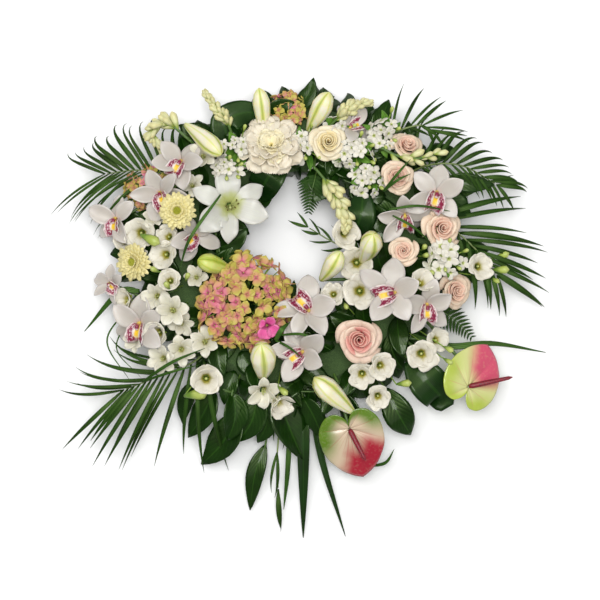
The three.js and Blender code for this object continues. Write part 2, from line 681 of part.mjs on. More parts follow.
// The tray: a flat-bottomed channel bent into a ring.
const inner = RING_RADIUS - TRAY_WIDTH / 2;
const outer = RING_RADIUS + TRAY_WIDTH / 2;
const traySection = [
  [inner, 0], [outer, 0], [outer, TRAY_HEIGHT],
  [outer - TRAY_WALL, TRAY_HEIGHT], [outer - TRAY_WALL, TRAY_WALL],
  [inner + TRAY_WALL, TRAY_WALL], [inner + TRAY_WALL, TRAY_HEIGHT],
  [inner, TRAY_HEIGHT], [inner, 0],
];
const tray = solid(turned(traySection, RING_SEGMENTS).rotateX(Math.PI / 2));
addMesh("base_tray", geometryOf(tray), "tray");

// The foam: a ring with cut shoulders.
const SHOULDER = 14;
const [foamInner, foamOuter] = [RING_RADIUS - FOAM_HALF, RING_RADIUS + FOAM_HALF];
const foamSection = [
  [foamInner, FOAM_FLOOR], [foamOuter, FOAM_FLOOR], [foamOuter, FOAM_TOP - SHOULDER],
  [foamOuter - SHOULDER, FOAM_TOP], [foamInner + SHOULDER, FOAM_TOP], [foamInner, FOAM_TOP - SHOULDER],
  [foamInner, FOAM_FLOOR],
];
const foam = solid(turned(foamSection, RING_SEGMENTS).rotateX(Math.PI / 2));

// Each plant is cut clear of every other plant's stem and of the heads before it in the list.
for (const plant of plants) {
  plant.stem = join(plant.stems);
  plant.stemRoom = join(plant.stems.map(roomFor));
  plant.headRoom = join(plant.heads.map(roomFor));
}
plants.forEach((plant, i) => {
  const stems = plants.filter((other) => other !== plant).map((other) => other.stemRoom);
  const heads = plants.slice(0, i).map((other) => other.headRoom);
  const cut = clearOf(join(plant.heads), [...stems, ...heads, tray]);
  const whole = plant.stem ? cut.add(plant.stem) : cut;
  addMesh(plant.name, geometryOf(largest(whole)), plant.colour);
});
const holes = plants.flatMap((plant) => [plant.stemRoom, plant.headRoom]);
addMesh("foam_ring", geometryOf(largest(clearOf(foam, holes))), "foam");

// The origin goes to the middle of the bottom of the whole wreath.
const box = new THREE.Box3().setFromObject(wreath);
const middle = box.getCenter(new THREE.Vector3());
wreath.position.set(-middle.x, -middle.y, -box.min.z);

export default wreath;
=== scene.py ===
"""Dresses the funeral wreath: petals, leaves, fronds, stems, foam and tray, each with its finish.

Every place below is in millimetres from the ring's centre, as the solids were laid out, with Z up
from the surface that the tray rests on. It becomes metres in the frame when a mesh is made.
"""
import math
from collections import namedtuple

import bpy
import numpy as np
from bpy.props import FloatProperty, FloatVectorProperty, IntProperty, PointerProperty
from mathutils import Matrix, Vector


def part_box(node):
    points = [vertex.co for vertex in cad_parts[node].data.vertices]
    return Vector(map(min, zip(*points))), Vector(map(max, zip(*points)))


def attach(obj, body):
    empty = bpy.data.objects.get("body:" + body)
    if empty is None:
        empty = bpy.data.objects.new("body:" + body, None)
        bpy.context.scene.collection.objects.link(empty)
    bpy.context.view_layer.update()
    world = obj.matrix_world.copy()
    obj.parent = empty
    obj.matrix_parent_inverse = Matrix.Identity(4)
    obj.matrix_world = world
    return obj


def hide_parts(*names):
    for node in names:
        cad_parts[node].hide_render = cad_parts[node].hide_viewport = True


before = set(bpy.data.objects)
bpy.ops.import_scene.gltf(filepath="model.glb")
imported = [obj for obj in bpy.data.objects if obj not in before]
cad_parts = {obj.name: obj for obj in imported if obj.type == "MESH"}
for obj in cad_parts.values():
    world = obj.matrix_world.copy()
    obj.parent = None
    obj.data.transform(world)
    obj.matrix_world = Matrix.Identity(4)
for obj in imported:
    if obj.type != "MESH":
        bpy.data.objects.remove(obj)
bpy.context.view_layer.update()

bl_info = {
    "name": "Funeral wreath",
    "version": (1, 0, 0),
    "blender": (4, 5, 0),
    "location": "View3D > Sidebar > Wreath",
    "description": "Flowers, leaves and fronds of a funeral wreath on a foam ring",
    "category": "Add Mesh",
}

TRAY_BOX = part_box("base_tray")
RING_X = (TRAY_BOX[0][0] + TRAY_BOX[1][0]) / 2
RING_Y = (TRAY_BOX[0][1] + TRAY_BOX[1][1]) / 2
MM = 0.001
TAU = 2 * math.pi
TURN = 2.39996  # the golden angle, between one petal and the next
UP = np.array([0.0, 0.0, 1.0])

# The ring, as the solids have it.
RING_RADIUS = 168.0
FOAM_TOP = 54.8
STEM_DEPTH = 28.0  # how far stems stand in the foam
FOOT_SHARE = 0.4  # how far a stem's foot goes along with a head that is off the ring's middle
FOOT_LIMIT = 36.0  # and the most that it goes, which keeps it in the foam
CARPET_REACH = 46.0  # how far on each side of the ring's middle the leaf carpet goes

# The middle of the view from the ring's centre, the height that it is framed at, and its width, in
# metres. The camera's sensor is in mm.
VIEW_X, VIEW_Y, VIEW_Z = 0.003, -0.078, 0.1
VIEW_WIDTH = 0.9
SENSOR_WIDTH = 36


def srgb(red, green, blue):
    """A display colour, from 0 to 255 each, as the linear colour that a shader takes."""
    share = np.array([red, green, blue]) / 255
    linear = np.where(share < 0.04045, share / 12.92, ((share + 0.055) / 1.055) ** 2.4)
    return (*linear.tolist(), 1.0)


# ------------------------------------------------------------------------------------- surfaces

# Reflections off a leaf, which its skin tints.
LEAF_SHEEN = (0.6, 0.9, 0.3, 1.0)

# One closed shell or rod, or many alike. A mark on each point says how far across and along its
# blade it is, the blade's own tone, and whether it is on the front.
Patch = namedtuple("Patch", "finish points quads flat tris marks")


def unit(v):
    """Vectors of length 1."""
    return v / np.maximum(np.linalg.norm(v, axis=-1, keepdims=True), 1e-9)


def rise(u, low, high):
    """0 below `low`, 1 above `high`, and a smooth step between them."""
    t = np.clip((u - low) / (high - low), 0, 1)
    return t * t * (3 - 2 * t)


def spoke(angle):
    """Level directions at the given angles in radians."""
    return np.stack([np.cos(angle), np.sin(angle), np.zeros(np.shape(angle))], -1)


def level(degrees):
    """Level directions at the given angles in degrees."""
    return spoke(np.radians(degrees))


def around(count, start, jitter=0.0):
    """Level directions evenly round the axis, or off it by the `jitter` of each."""
    return spoke(start + np.arange(count) / count * TAU + jitter)


def per_blade(value, count):
    """One value for each blade, as a column."""
    return np.broadcast_to(np.asarray(value, float), (count,))[:, None]


def outline(widest, foot, tip, swell, taper):
    """A blade's half width as a share: a sine from `foot` up to 1 at `widest`, then a cosine down
    to `tip`, each to its own power."""

    def share(u):
        up = np.sin(np.clip(u / widest, 0, 1) * math.pi / 2) ** swell
        down = np.cos(np.clip((u - widest) / (1 - widest), 0, 1) * math.pi / 2).clip(0) ** taper
        return np.where(u < widest, foot + (1 - foot) * up, tip + (1 - tip) * down)

    return share


def skin(spine, along, edge, width, shape, cup=0, fold=0, ruffle=0, waves=3, phase=0, twist=0,
         jag=0, cols=7):
    """The middle surfaces of petals or leaves about their spines.

    A point stands off its spine along the edge direction by the outline's width times its share
    across. The edges rise by `cup` times that share squared, by `fold` times that share, and by a
    `ruffle`, a sine along the blade that grows towards the edge. `twist` turns the edge direction
    by that many radians by the tip, and `jag` is how deep in mm the tip's teeth are."""
    count, rows, _ = spine.shape
    u = np.linspace(0, 1, rows)[None]
    v = np.linspace(-1, 1, cols)[None, None]
    normal = np.cross(along, edge)
    turn = (per_blade(twist, count) * u)[..., None]
    cos, sin = np.cos(turn), np.sin(turn)
    edge, normal = cos * edge + sin * normal, cos * normal - sin * edge
    width = per_blade(width, count)
    phase = per_blade(phase, count)
    half = (width / 2 * shape(u))[..., None]
    wave = np.sin(TAU * waves * u + phase)[..., None] * np.where(v > 0, 1, -0.8)
    bowl = per_blade(cup, count)[..., None] * v**2 + per_blade(fold, count)[..., None] * np.abs(v)
    frill = (per_blade(ruffle, count) * width * rise(u, 0.1, 0.6))[..., None]
    height = half * bowl + frill * wave * v**2
    teeth = (jag * u**6)[..., None] * (np.abs(np.sin(2.5 * math.pi * v + phase[..., None])) - 0.6)
    return (
        spine[:, :, None]
        + (half * v)[..., None] * edge[:, :, None]
        + height[..., None] * normal[:, :, None]
        + teeth[..., None] * along[:, :, None]
    )


def blades(base, ahead, face, length, width, shape, lift, curl, late=1, sway=0, sway_late=1, rows=9,
           **form):
    """Petals or leaves, one for each row of the arrays. The spine leaves `base` along `ahead`,
    turned `lift` radians towards `face`, and turns `curl` more along its length, late in it where
    `late` is above 1, and `sway` sideways, late in it where `sway_late` is above 1."""
    base, ahead, face = (np.atleast_2d(np.asarray(v, float)) for v in (base, ahead, face))
    count = max(len(base), len(ahead), len(face), np.size(length), np.size(lift))
    base, ahead, face = (np.broadcast_to(v, (count, 3)) for v in (base, ahead, face))
    ahead = unit(ahead)
    face = unit(face - np.sum(face * ahead, 1, keepdims=True) * ahead)
    side = np.cross(face, ahead)[:, None]
    ahead, face = ahead[:, None], face[:, None]
    u = np.linspace(0, 1, rows)[None]
    heading = per_blade(lift, count) + per_blade(curl, count) * u ** per_blade(late, count)
    yaw = per_blade(sway, count) * u ** per_blade(sway_late, count)
    flat = np.cos(yaw)[..., None] * ahead + np.sin(yaw)[..., None] * side
    along = np.cos(heading)[..., None] * flat + np.sin(heading)[..., None] * face
    edge = np.cos(yaw)[..., None] * side - np.sin(yaw)[..., None] * ahead
    steps = (along[:, 1:] + along[:, :-1]) / 2 * (per_blade(length, count) / (rows - 1))[..., None]
    run = np.concatenate([np.zeros((count, 1, 3)), np.cumsum(steps, 1)], 1)
    return skin(base[:, None] + run, along, edge, width, shape, **form)


def ribbons(paths, up, width, shape, **form):
    """Leaves along given lines, which lie across the direction `up`."""
    paths = np.asarray(paths, float)
    paths = paths[None] if paths.ndim == 2 else paths
    along = unit(np.gradient(paths, axis=1))
    edge = unit(np.cross(np.asarray(up, float), along))
    return skin(paths, along, edge, width, shape, **form)


def shells(finish, middle, thick, tone=None):
    """Closed shells round middle surfaces: the front and back lie half the thickness off along the
    normal, and a narrow rim joins them."""
    count, rows, cols, _ = middle.shape
    normal = unit(np.cross(np.gradient(middle, axis=1), np.gradient(middle, axis=2)))
    half = np.broadcast_to(np.asarray(thick, float), (count,))[:, None, None, None] / 2 * normal
    points = np.stack([middle + half, middle - half], 1).reshape(-1, 3)
    grid = np.arange(rows * cols).reshape(rows, cols)
    front = np.stack([grid[:-1, :-1], grid[1:, :-1], grid[1:, 1:], grid[:-1, 1:]],
                     -1).reshape(-1, 4)
    loop = np.concatenate([grid[:, 0], grid[-1, 1:], grid[-2::-1, -1], grid[0, -2:0:-1]])
    after = np.roll(loop, -1)
    rim = np.stack([after, loop, loop + rows * cols, after + rows * cols], -1)
    one = np.concatenate([front, front[:, ::-1] + rows * cols, rim])
    quads = (one[None] + (np.arange(count) * 2 * rows * cols)[:, None, None]).reshape(-1, 4)
    flat = np.tile(np.arange(len(one)) >= 2 * len(front), count)
    marks = np.zeros((count, 2, rows, cols, 4))
    marks[..., 0] = np.linspace(0, 1, cols)
    marks[..., 1] = np.linspace(0, 1, rows)[:, None]
    marks[..., 2] = 0.5 if tone is None else np.reshape(tone, (-1, 1, 1, 1))
    marks[:, 0, ..., 3] = 1
    return Patch(finish, points, quads, flat, np.zeros((0, 3), int), marks.reshape(-1, 4))


def tubes(finish, path, radius, sides, tone=None):
    """Closed rods: a ring of points at the radius round each point of a path, and a cap at each
    end. `radius` may differ along the path and round it. The mark across runs from 0 to 1 and
    back."""
    path = np.asarray(path, float)
    path = path[None] if path.ndim == 2 else path
    count, rows, _ = path.shape
    radius = np.asarray(radius, float)
    radius = radius if radius.ndim == 3 else np.broadcast_to(radius, (count, rows))[..., None]
    along = unit(np.gradient(path, axis=1))
    helper = np.eye(3)[np.argmin(np.abs(unit(path[:, -1] - path[:, 0])), 1)]
    side = unit(np.cross(along, helper[:, None]))
    other = np.cross(along, side)
    angle = np.arange(sides) / sides * TAU
    ring = np.cos(angle)[:, None] * side[:, :, None] + np.sin(angle)[:, None] * other[:, :, None]
    body = (path[:, :, None] + radius[..., None] * ring).reshape(count, -1, 3)
    points = np.concatenate([body, path[:, :1], path[:, -1:]], 1)
    grid = np.arange(rows * sides).reshape(rows, sides)
    turned = np.roll(grid, -1, 1)
    one = np.stack([grid[:-1], turned[:-1], turned[1:], grid[1:]], -1).reshape(-1, 4)
    low = np.stack([np.full(sides, rows * sides), turned[0], grid[0]], -1)
    high = np.stack([np.full(sides, rows * sides + 1), grid[-1], turned[-1]], -1)
    offset = (np.arange(count) * points.shape[1])[:, None, None]
    marks = np.ones((count, points.shape[1], 4))
    marks[:, : rows * sides, 0] = np.tile(1 - np.abs(2 * np.arange(sides) / sides - 1), rows)
    marks[:, : rows * sides, 1] = np.repeat(np.linspace(0, 1, rows), sides)
    marks[:, rows * sides, :2] = 0
    marks[..., 2] = 0.5 if tone is None else np.reshape(tone, (-1, 1))
    quads = (one[None] + offset).reshape(-1, 4)
    tris = (np.concatenate([low, high])[None] + offset).reshape(-1, 3)
    return Patch(finish, points.reshape(-1, 3), quads, np.zeros(len(quads), bool), tris,
                 marks.reshape(-1, 4))


def curve(points, rows):
    """A smooth line through a few points: a Catmull-Rom spline sampled at even shares."""
    points = np.asarray(points, float)
    ends = np.vstack([2 * points[0] - points[1], points, 2 * points[-1] - points[-2]])
    spot = np.linspace(0, len(points) - 1, rows)
    i = np.minimum(spot.astype(int), len(points) - 2)
    t = (spot - i)[:, None]
    a, b, c, d = ends[i], ends[i + 1], ends[i + 2], ends[i + 3]
    square = (2 * a - 5 * b + 4 * c - d) * t**2
    cube = (3 * b - a - 3 * c + d) * t**3
    return 0.5 * (2 * b + (c - a) * t + square + cube)


def look_of(face):
    """The direction whose level part is `face`."""
    return np.array([face[0], face[1], math.sqrt(max(1 - face[0] ** 2 - face[1] ** 2, 0))])


def facing(patches, at, face, spin=90):
    """Patches made about +Z, turned so that their 90 degree side is at `spin`, leant to look the
    way that `face` gives the level part of, and set down at `at`."""
    a = math.radians(spin - 90)
    twist = np.array([[math.cos(a), -math.sin(a), 0], [math.sin(a), math.cos(a), 0], [0, 0, 1]])
    look = look_of(face)
    v = np.cross(UP, look)
    cross = np.array([[0, -v[2], v[1]], [v[2], 0, -v[0]], [-v[1], v[0], 0]])
    tilt = np.eye(3) + cross + cross @ cross / (1 + look[2])
    return [p._replace(points=p.points @ (tilt @ twist).T + np.asarray(at, float)) for p in patches]


def foot_of(x, y, shift=0.0):
    """Where the stem of a head at (x, y) stands in the foam."""
    r = math.hypot(x, y)
    foot = RING_RADIUS + min(max(FOOT_SHARE * (r - RING_RADIUS), -FOOT_LIMIT), FOOT_LIMIT)
    a = math.atan2(y, x) + shift / foot
    return foot * math.cos(a), foot * math.sin(a)


def stem_line(at, face, back, shift=0.0):
    """A stem's line: out of the foam, and on to the back of a head."""
    fx, fy = foot_of(at[0], at[1], shift)
    end = np.array(at) - back * look_of(face)
    middle = (fx + 0.15 * (end[0] - fx), fy + 0.15 * (end[1] - fy), FOAM_TOP + 2)
    return [(fx, fy, FOAM_TOP - STEM_DEPTH), middle, end]


def stalk_line(start, onward):
    """The same for a leaf or spike that starts at `start` and goes on towards `onward`."""
    start, onward = np.asarray(start, float), np.asarray(onward, float)
    foot = np.array([*foot_of(start[0], start[1]), FOAM_TOP - STEM_DEPTH])
    middle = foot + 0.45 * (start - foot) + [0, 0, 6]
    return [foot, middle, start, start + 0.12 * (onward - start)]


def leaf_stalk(start, onward, radius=1.7):
    """The stem of a leaf or spike."""
    return tubes("stem", curve(stalk_line(start, onward), 9), radius, 6)


# ------------------------------------------------------------------------------------- finishes


class Value:
    """A node's output. Arithmetic on it adds the node that works it out."""

    def __init__(self, nodes, socket):
        self.nodes, self.socket = nodes, socket

    def __add__(self, other):
        return self.nodes.math("ADD", self, other)

    def __sub__(self, other):
        return self.nodes.math("SUBTRACT", self, other)

    def __rsub__(self, other):
        return self.nodes.math("SUBTRACT", other, self)

    def __mul__(self, other):
        return self.nodes.math("MULTIPLY", self, other)

    def __truediv__(self, other):
        return self.nodes.math("DIVIDE", self, other)

    def __pow__(self, other):
        return self.nodes.math("POWER", self, other)

    def __abs__(self):
        return self.nodes.math("ABSOLUTE", self)

    def most(self, other):
        return self.nodes.math("MAXIMUM", self, other)

    def wave(self, turns, operation="SINE"):
        """How far a sine or cosine of it is from 0, with half a wave for each of its `turns`."""
        return abs(self.nodes.math(operation, self * (turns * math.pi)))

    def step(self, low, high):
        """A smooth step from 0 to 1 as it goes from `low` to `high`."""
        sockets = enumerate((self, low, high, 0.0, 1.0))
        return self.nodes.add("ShaderNodeMapRange", sockets, interpolation_type="SMOOTHSTEP")


class Nodes:
    """A node tree with short ways to add to it. Each gives the new node's output."""

    def __init__(self, tree):
        self.tree = tree

    def feed(self, socket, value):
        if isinstance(value, Value):
            self.tree.links.new(value.socket, socket)
        else:
            socket.default_value = value

    def add(self, kind, inputs=(), output=0, **settings):
        made = self.tree.nodes.new(kind)
        for key, value in settings.items():
            setattr(made, key, value)
        for key, value in dict(inputs).items():
            self.feed(made.inputs[key], value)
        return Value(self, made.outputs[output])

    def math(self, operation, *values):
        return self.add("ShaderNodeMath", enumerate(values), operation=operation)

    def mix(self, share, first, second, blend="MIX"):
        sockets = {0: share, 6: first, 7: second}
        return self.add("ShaderNodeMix", sockets, 2, data_type="RGBA", blend_type=blend)

    def place(self):
        return self.add("ShaderNodeTexCoord", output="Object")

    def noise(self, scale, detail=2.0, place=None):
        sockets = {"Vector": place or self.place(), "Scale": scale, "Detail": detail}
        return self.add("ShaderNodeTexNoise", sockets)

    def marks(self):
        """Across, along, tone and front, as the meshes carry them."""
        parts = self.add("ShaderNodeUVMap", uv_map="UVMap")
        sides = [self.add("ShaderNodeSeparateXYZ", {0: parts}, axis) for axis in "XY"]
        tone, front = (
            self.add("ShaderNodeAttribute", output="Fac", attribute_name=name)
            for name in ("tone", "front")
        )
        return *sides, tone, front

    def streaks(self, marks, across, along, detail=2.0):
        """Noise with so many cells across a blade and along it, different on each."""
        place = enumerate((marks[0] * across, marks[1] * along, marks[2]))
        line = self.add("ShaderNodeCombineXYZ", place)
        return self.noise(1.0, detail, line)


def node_group(name, inputs, build):
    """A shader node group that puts out a colour and a height. The `inputs` that start with a small
    letter are values and the others colours. `build` takes the nodes and the inputs by name."""
    if name in bpy.data.node_groups:
        return bpy.data.node_groups[name]
    tree = bpy.data.node_groups.new(name, "ShaderNodeTree")
    for socket in inputs:
        kind = "NodeSocketFloat" if socket[0].islower() else "NodeSocketColor"
        tree.interface.new_socket(socket, in_out="INPUT", socket_type=kind)
    tree.interface.new_socket("Colour", in_out="OUTPUT", socket_type="NodeSocketColor")
    tree.interface.new_socket("Height", in_out="OUTPUT", socket_type="NodeSocketFloat")
    entry = tree.nodes.new("NodeGroupInput")
    leave = tree.nodes.new("NodeGroupOutput")
    nodes = Nodes(tree)
    given = {socket: Value(nodes, entry.outputs[socket]) for socket in inputs}
    for socket, value in zip(leave.inputs, build(nodes, given)):
        nodes.feed(socket, value)
    return tree


def use_group(group, values):
    """What adds a group's node with its values to a tree, and gives its outputs."""

    def dress(nodes):
        made = nodes.tree.nodes.new("ShaderNodeGroup")
        made.node_tree = group
        for key, value in values.items():
            nodes.feed(made.inputs[key], value)
        return [Value(nodes, socket) for socket in made.outputs]

    return dress


def petal_skin(nodes, given):
    """A petal's skin: fine veins that fan out along it, a throat colour that fades out from its
    foot, an edge colour that fades in at its rim, and a faint mottle in place."""
    marks = across, along, tone, front = nodes.marks()
    rim = (abs(across * 2.0 - 1.0) ** 3.0).most(along.step(0.55, 1.0))
    colour = nodes.mix(rim * given["edge share"], given["Base"], given["Edge"])
    vein = nodes.streaks(marks, 26.0, 2.0, 1.0)
    colour = nodes.mix(vein.step(0.45, 0.7) * given["veins"], colour, given["Vein"])
    reach = (nodes.noise(90.0) * 0.25 + along - 0.125) / given["reach"].most(0.01)
    colour = nodes.mix(reach.step(0.35, 1.0), given["Throat"], colour)
    colour = nodes.mix((1.0 - front) * 0.5, colour, given["Back"])
    mottle = nodes.noise(45.0, 3.0)
    shade = tone * 0.16 + (mottle * 0.14 + 0.85)
    grey = nodes.add("ShaderNodeCombineColor", enumerate((shade, shade, shade)))
    return nodes.mix(1.0, colour, grey, "MULTIPLY"), vein * 0.7 + mottle * 0.5


def leaf_skin(nodes, given):
    """A leaf's skin: a midrib, side veins that slant forward from it, a pale back, and a mottle."""
    across, along, tone, front = nodes.marks()
    off = abs(across * 2.0 - 1.0)
    comb = (off * -0.42 + along).wave(given["pairs"])
    midrib = off.step(0.09, 0.03)
    side = comb.step(0.22, 0.0) * off.step(1.0, 0.7)
    mottle = nodes.noise(38.0, 3.0).step(0.3, 0.75)
    colour = nodes.mix(mottle, given["Base"], given["Second"])
    colour = nodes.mix(tone * 0.6, colour, given["Second"])
    colour = nodes.mix(midrib.most(side * given["side veins"]) * 0.55, colour, given["Vein"])
    colour = nodes.mix((1.0 - front) * 0.7, colour, given["Back"])
    return colour, nodes.noise(420.0) * 0.15 + (comb * given["side veins"] - midrib * 1.2)


def finished(name, dress, bump=0.35, relief=0.0006, **shader):
    """A material whose colour and height `dress` makes in its node tree, on one Principled shader.
    `bump` is how strongly the height shows, and `relief` how high it is in metres."""
    made = bpy.data.materials.new(name)
    made.use_nodes = True
    made.node_tree.nodes.clear()
    nodes = Nodes(made.node_tree)
    surface = made.node_tree.nodes.new("ShaderNodeBsdfPrincipled")
    colour, height = dress(nodes)
    nodes.feed(surface.inputs["Base Color"], colour)
    normal = nodes.add("ShaderNodeBump", {"Height": height, "Strength": bump, "Distance": relief})
    nodes.feed(surface.inputs["Normal"], normal)
    for key, value in shader.items():
        surface.inputs[key.replace("_", " ").title().replace("Ior", "IOR")].default_value = value
    leave = made.node_tree.nodes.new("ShaderNodeOutputMaterial")
    made.node_tree.links.new(surface.outputs[0], leave.inputs["Surface"])
    return made


def petal(name, base, edge, throat, back, vein, edge_share, reach, veins, roughness):
    """A petal's material: how much of the edge colour and of the veins shows, and how far up it the
    throat reaches."""
    values = {"Base": base, "Edge": edge, "Throat": throat, "Back": back, "Vein": vein,
              "edge share": edge_share, "reach": reach, "veins": veins}
    dress = use_group(node_group("Petal skin", values, petal_skin), values)
    return finished(name, dress, roughness=roughness, subsurface_weight=0.15,
                    subsurface_scale=0.004, subsurface_radius=(1, 0.8, 0.65))


def foliage(name, base, second, vein, back, pairs=26.0, side_veins=0.6, roughness=0.38, **shader):
    """A leaf's material. `pairs` sets how many side veins its length has."""
    values = {"Base": base, "Second": second, "Vein": vein, "Back": back, "pairs": pairs / math.pi,
              "side veins": side_veins}
    dress = use_group(node_group("Leaf skin", values, leaf_skin), values)
    return finished(name, dress, roughness=roughness, specular_tint=LEAF_SHEEN, **shader)


def orchid_lip(name, pale, flushed, back, blotch, crest):
    """An orchid's lip: white, with a broken dark band of blotches inside its rim and a yellow
    crest down its middle."""

    def dress(nodes):
        marks = across, along, _, front = nodes.marks()
        off = abs(across * 2.0 - 1.0)
        blot = nodes.streaks(marks, 17.0, 9.0)
        wobble = blot * 0.5 + (off.most(along.step(0.35, 1.05)) - 0.25)
        band = wobble.step(0.34, 0.48) * wobble.step(0.98, 0.84)
        colour = nodes.mix(band * blot.step(0.39, 0.5), nodes.mix(band * 0.35, pale, flushed),
                           blotch)
        colour = nodes.mix(off.step(0.38, 0.14) * along.step(0.8, 0.55), colour, crest)
        return nodes.mix(1.0 - front, colour, back), blot

    return finished(name, dress, roughness=0.42, subsurface_weight=0.1, subsurface_scale=0.003)


def orchid_column(name, foot, middle, cap):
    """The column: yellow at its foot, dark pink below its pale cap."""

    def dress(nodes):
        along = nodes.marks()[1]
        colour = nodes.mix(along.step(0.2, 0.5), foot, middle)
        return nodes.mix(along.step(0.68, 0.82), colour, cap), nodes.noise(300.0)

    return finished(name, dress, roughness=0.35)


def bud_skin(name, pale, second, rib, groove):
    """A closed lily bud: pale, with a yellow-green band on each side of its three grooves, and
    greener at both ends."""

    def dress(nodes):
        across, along, _, _ = nodes.marks()
        grain = nodes.noise(60.0)
        wave = across.wave(1.5, "COSINE")
        line = wave.step(0.975, 0.995)
        colour = nodes.mix(grain.step(0.35, 0.7), pale, second)
        ends = along.step(0.26, 0.0).most(along.step(0.84, 1.0)) * 0.5
        for share in (wave.step(0.84, 0.99) * 0.75, wave.step(0.26, 0.04) * 0.6, ends):
            colour = nodes.mix(share, colour, rib)
        return nodes.mix(line * 0.6, colour, groove), line * -0.8 + grain

    return finished(name, dress, 0.4, 0.0012, roughness=0.45, subsurface_weight=0.15,
                    subsurface_scale=0.004)


def spathe(name, cream, green, red, red_side, red_reach, red_from):
    """A glossy spathe: cream in its middle, green round its lobes, and red over the sector that
    `red_side` names as a share of the way round from the notch. `red_reach` is half the sector,
    and `red_from` how far out the red starts. Red veins fan out from the notch."""

    def dress(nodes):
        across, along, _, front = nodes.marks()
        grain = nodes.noise(26.0, 3.0)
        away = abs(across - red_side)
        wander = (grain - 0.5) * 0.08 + away
        out = (grain - 0.5) * 0.3 + along
        red_mask = wander.step(red_reach, red_reach * 0.4) * out.step(red_from, red_from + 0.45)
        rim = out.step(0.25, 0.8) * away.step(red_reach * 0.8, red_reach * 1.6)
        unspotted = 1.0 - nodes.noise(240.0, 3.0).step(0.5, 0.7) * 0.1
        wide, thin = across.wave(9), across.wave(31)
        line = wide.step(0.14, 0.0) * along.step(1.0, 0.5)
        hair = thin.step(0.3, 0.0) * along.step(0.75, 0.1)
        colour = nodes.mix(rim * unspotted, cream, green)
        colour = nodes.mix(hair * away.step(red_reach * 2.2, 0.0), colour, red)
        colour = nodes.mix(red_mask * unspotted, colour, red)
        colour = nodes.mix(line * 0.4, colour, red)
        return nodes.mix(1.0 - front, colour, green), grain * 0.6 + wide

    return finished(name, dress, 0.6, 0.0016, roughness=0.25, coat_weight=0.4, coat_roughness=0.15)


def knobbly(name, low, high, scale, roughness, relief=0.0005):
    """A finish of small grains: the colour goes from `low` between them to `high` on them, so the
    grains keep their own colour and the hollows between them get a painted shade.
    """

    def dress(nodes):
        cells = nodes.add("ShaderNodeTexVoronoi", {"Vector": nodes.place(), "Scale": scale})
        # The colour goes to `low` where the grains' height is low: painted shade in the hollows
        # between them.
        return nodes.mix(nodes.noise(40.0) * 0.5 + cells.step(0.75, 0.2), low, high), 1.0 - cells

    return finished(name, dress, 0.5, relief, roughness=roughness)


def stalk(name, low, high):
    """A stem's finish: fine ridges along it, and a slow change of green."""

    def dress(nodes):
        ridge = nodes.streaks(nodes.marks(), 14.0, 3.0)
        return nodes.mix(ridge.step(0.3, 0.7), low, high), ridge

    return finished(name, dress, 0.3, 0.0004, roughness=0.45)


def floret(name, pink, dusty, green, heart):
    """A hydrangea floret: pink in its middle, dusty halfway out and olive green at its tips. Its
    own tone and where it is set how far out the pink reaches."""

    def dress(nodes):
        _, along, tone, _ = nodes.marks()
        share = (nodes.noise(26.0) - 0.5) * 1.2 + tone
        out = along - (share * 0.9 - 0.38)
        colour = nodes.mix(out.step(-0.05, 0.35), pink, dusty)
        colour = nodes.mix(out.step(0.32, 0.85), colour, green)
        return nodes.mix(along.step(0.3, 0.0) * 0.7, colour, heart), nodes.noise(700.0)

    return finished(name, dress, roughness=0.6)


def leaflet(name, base, second, back, roughness=0.42, lines=9.0, **shader):
    """A palm leaflet's or blade's finish: parallel veins along it, and a pale back."""

    def dress(nodes):
        across, _, tone, front = nodes.marks()
        slow = nodes.noise(24.0)
        colour = nodes.mix(slow.step(0.3, 0.7), base, second)
        colour = nodes.mix(tone * 0.5, colour, second)
        colour = nodes.mix(abs(across - 0.5).step(0.06, 0.02) * 0.5, colour, back)
        colour = nodes.mix((1.0 - front) * 0.6, colour, back)
        return colour, slow * 0.2 + across.wave(lines)

    return finished(name, dress, 0.35, 0.0005, roughness=roughness, specular_tint=LEAF_SHEEN,
                    **shader)
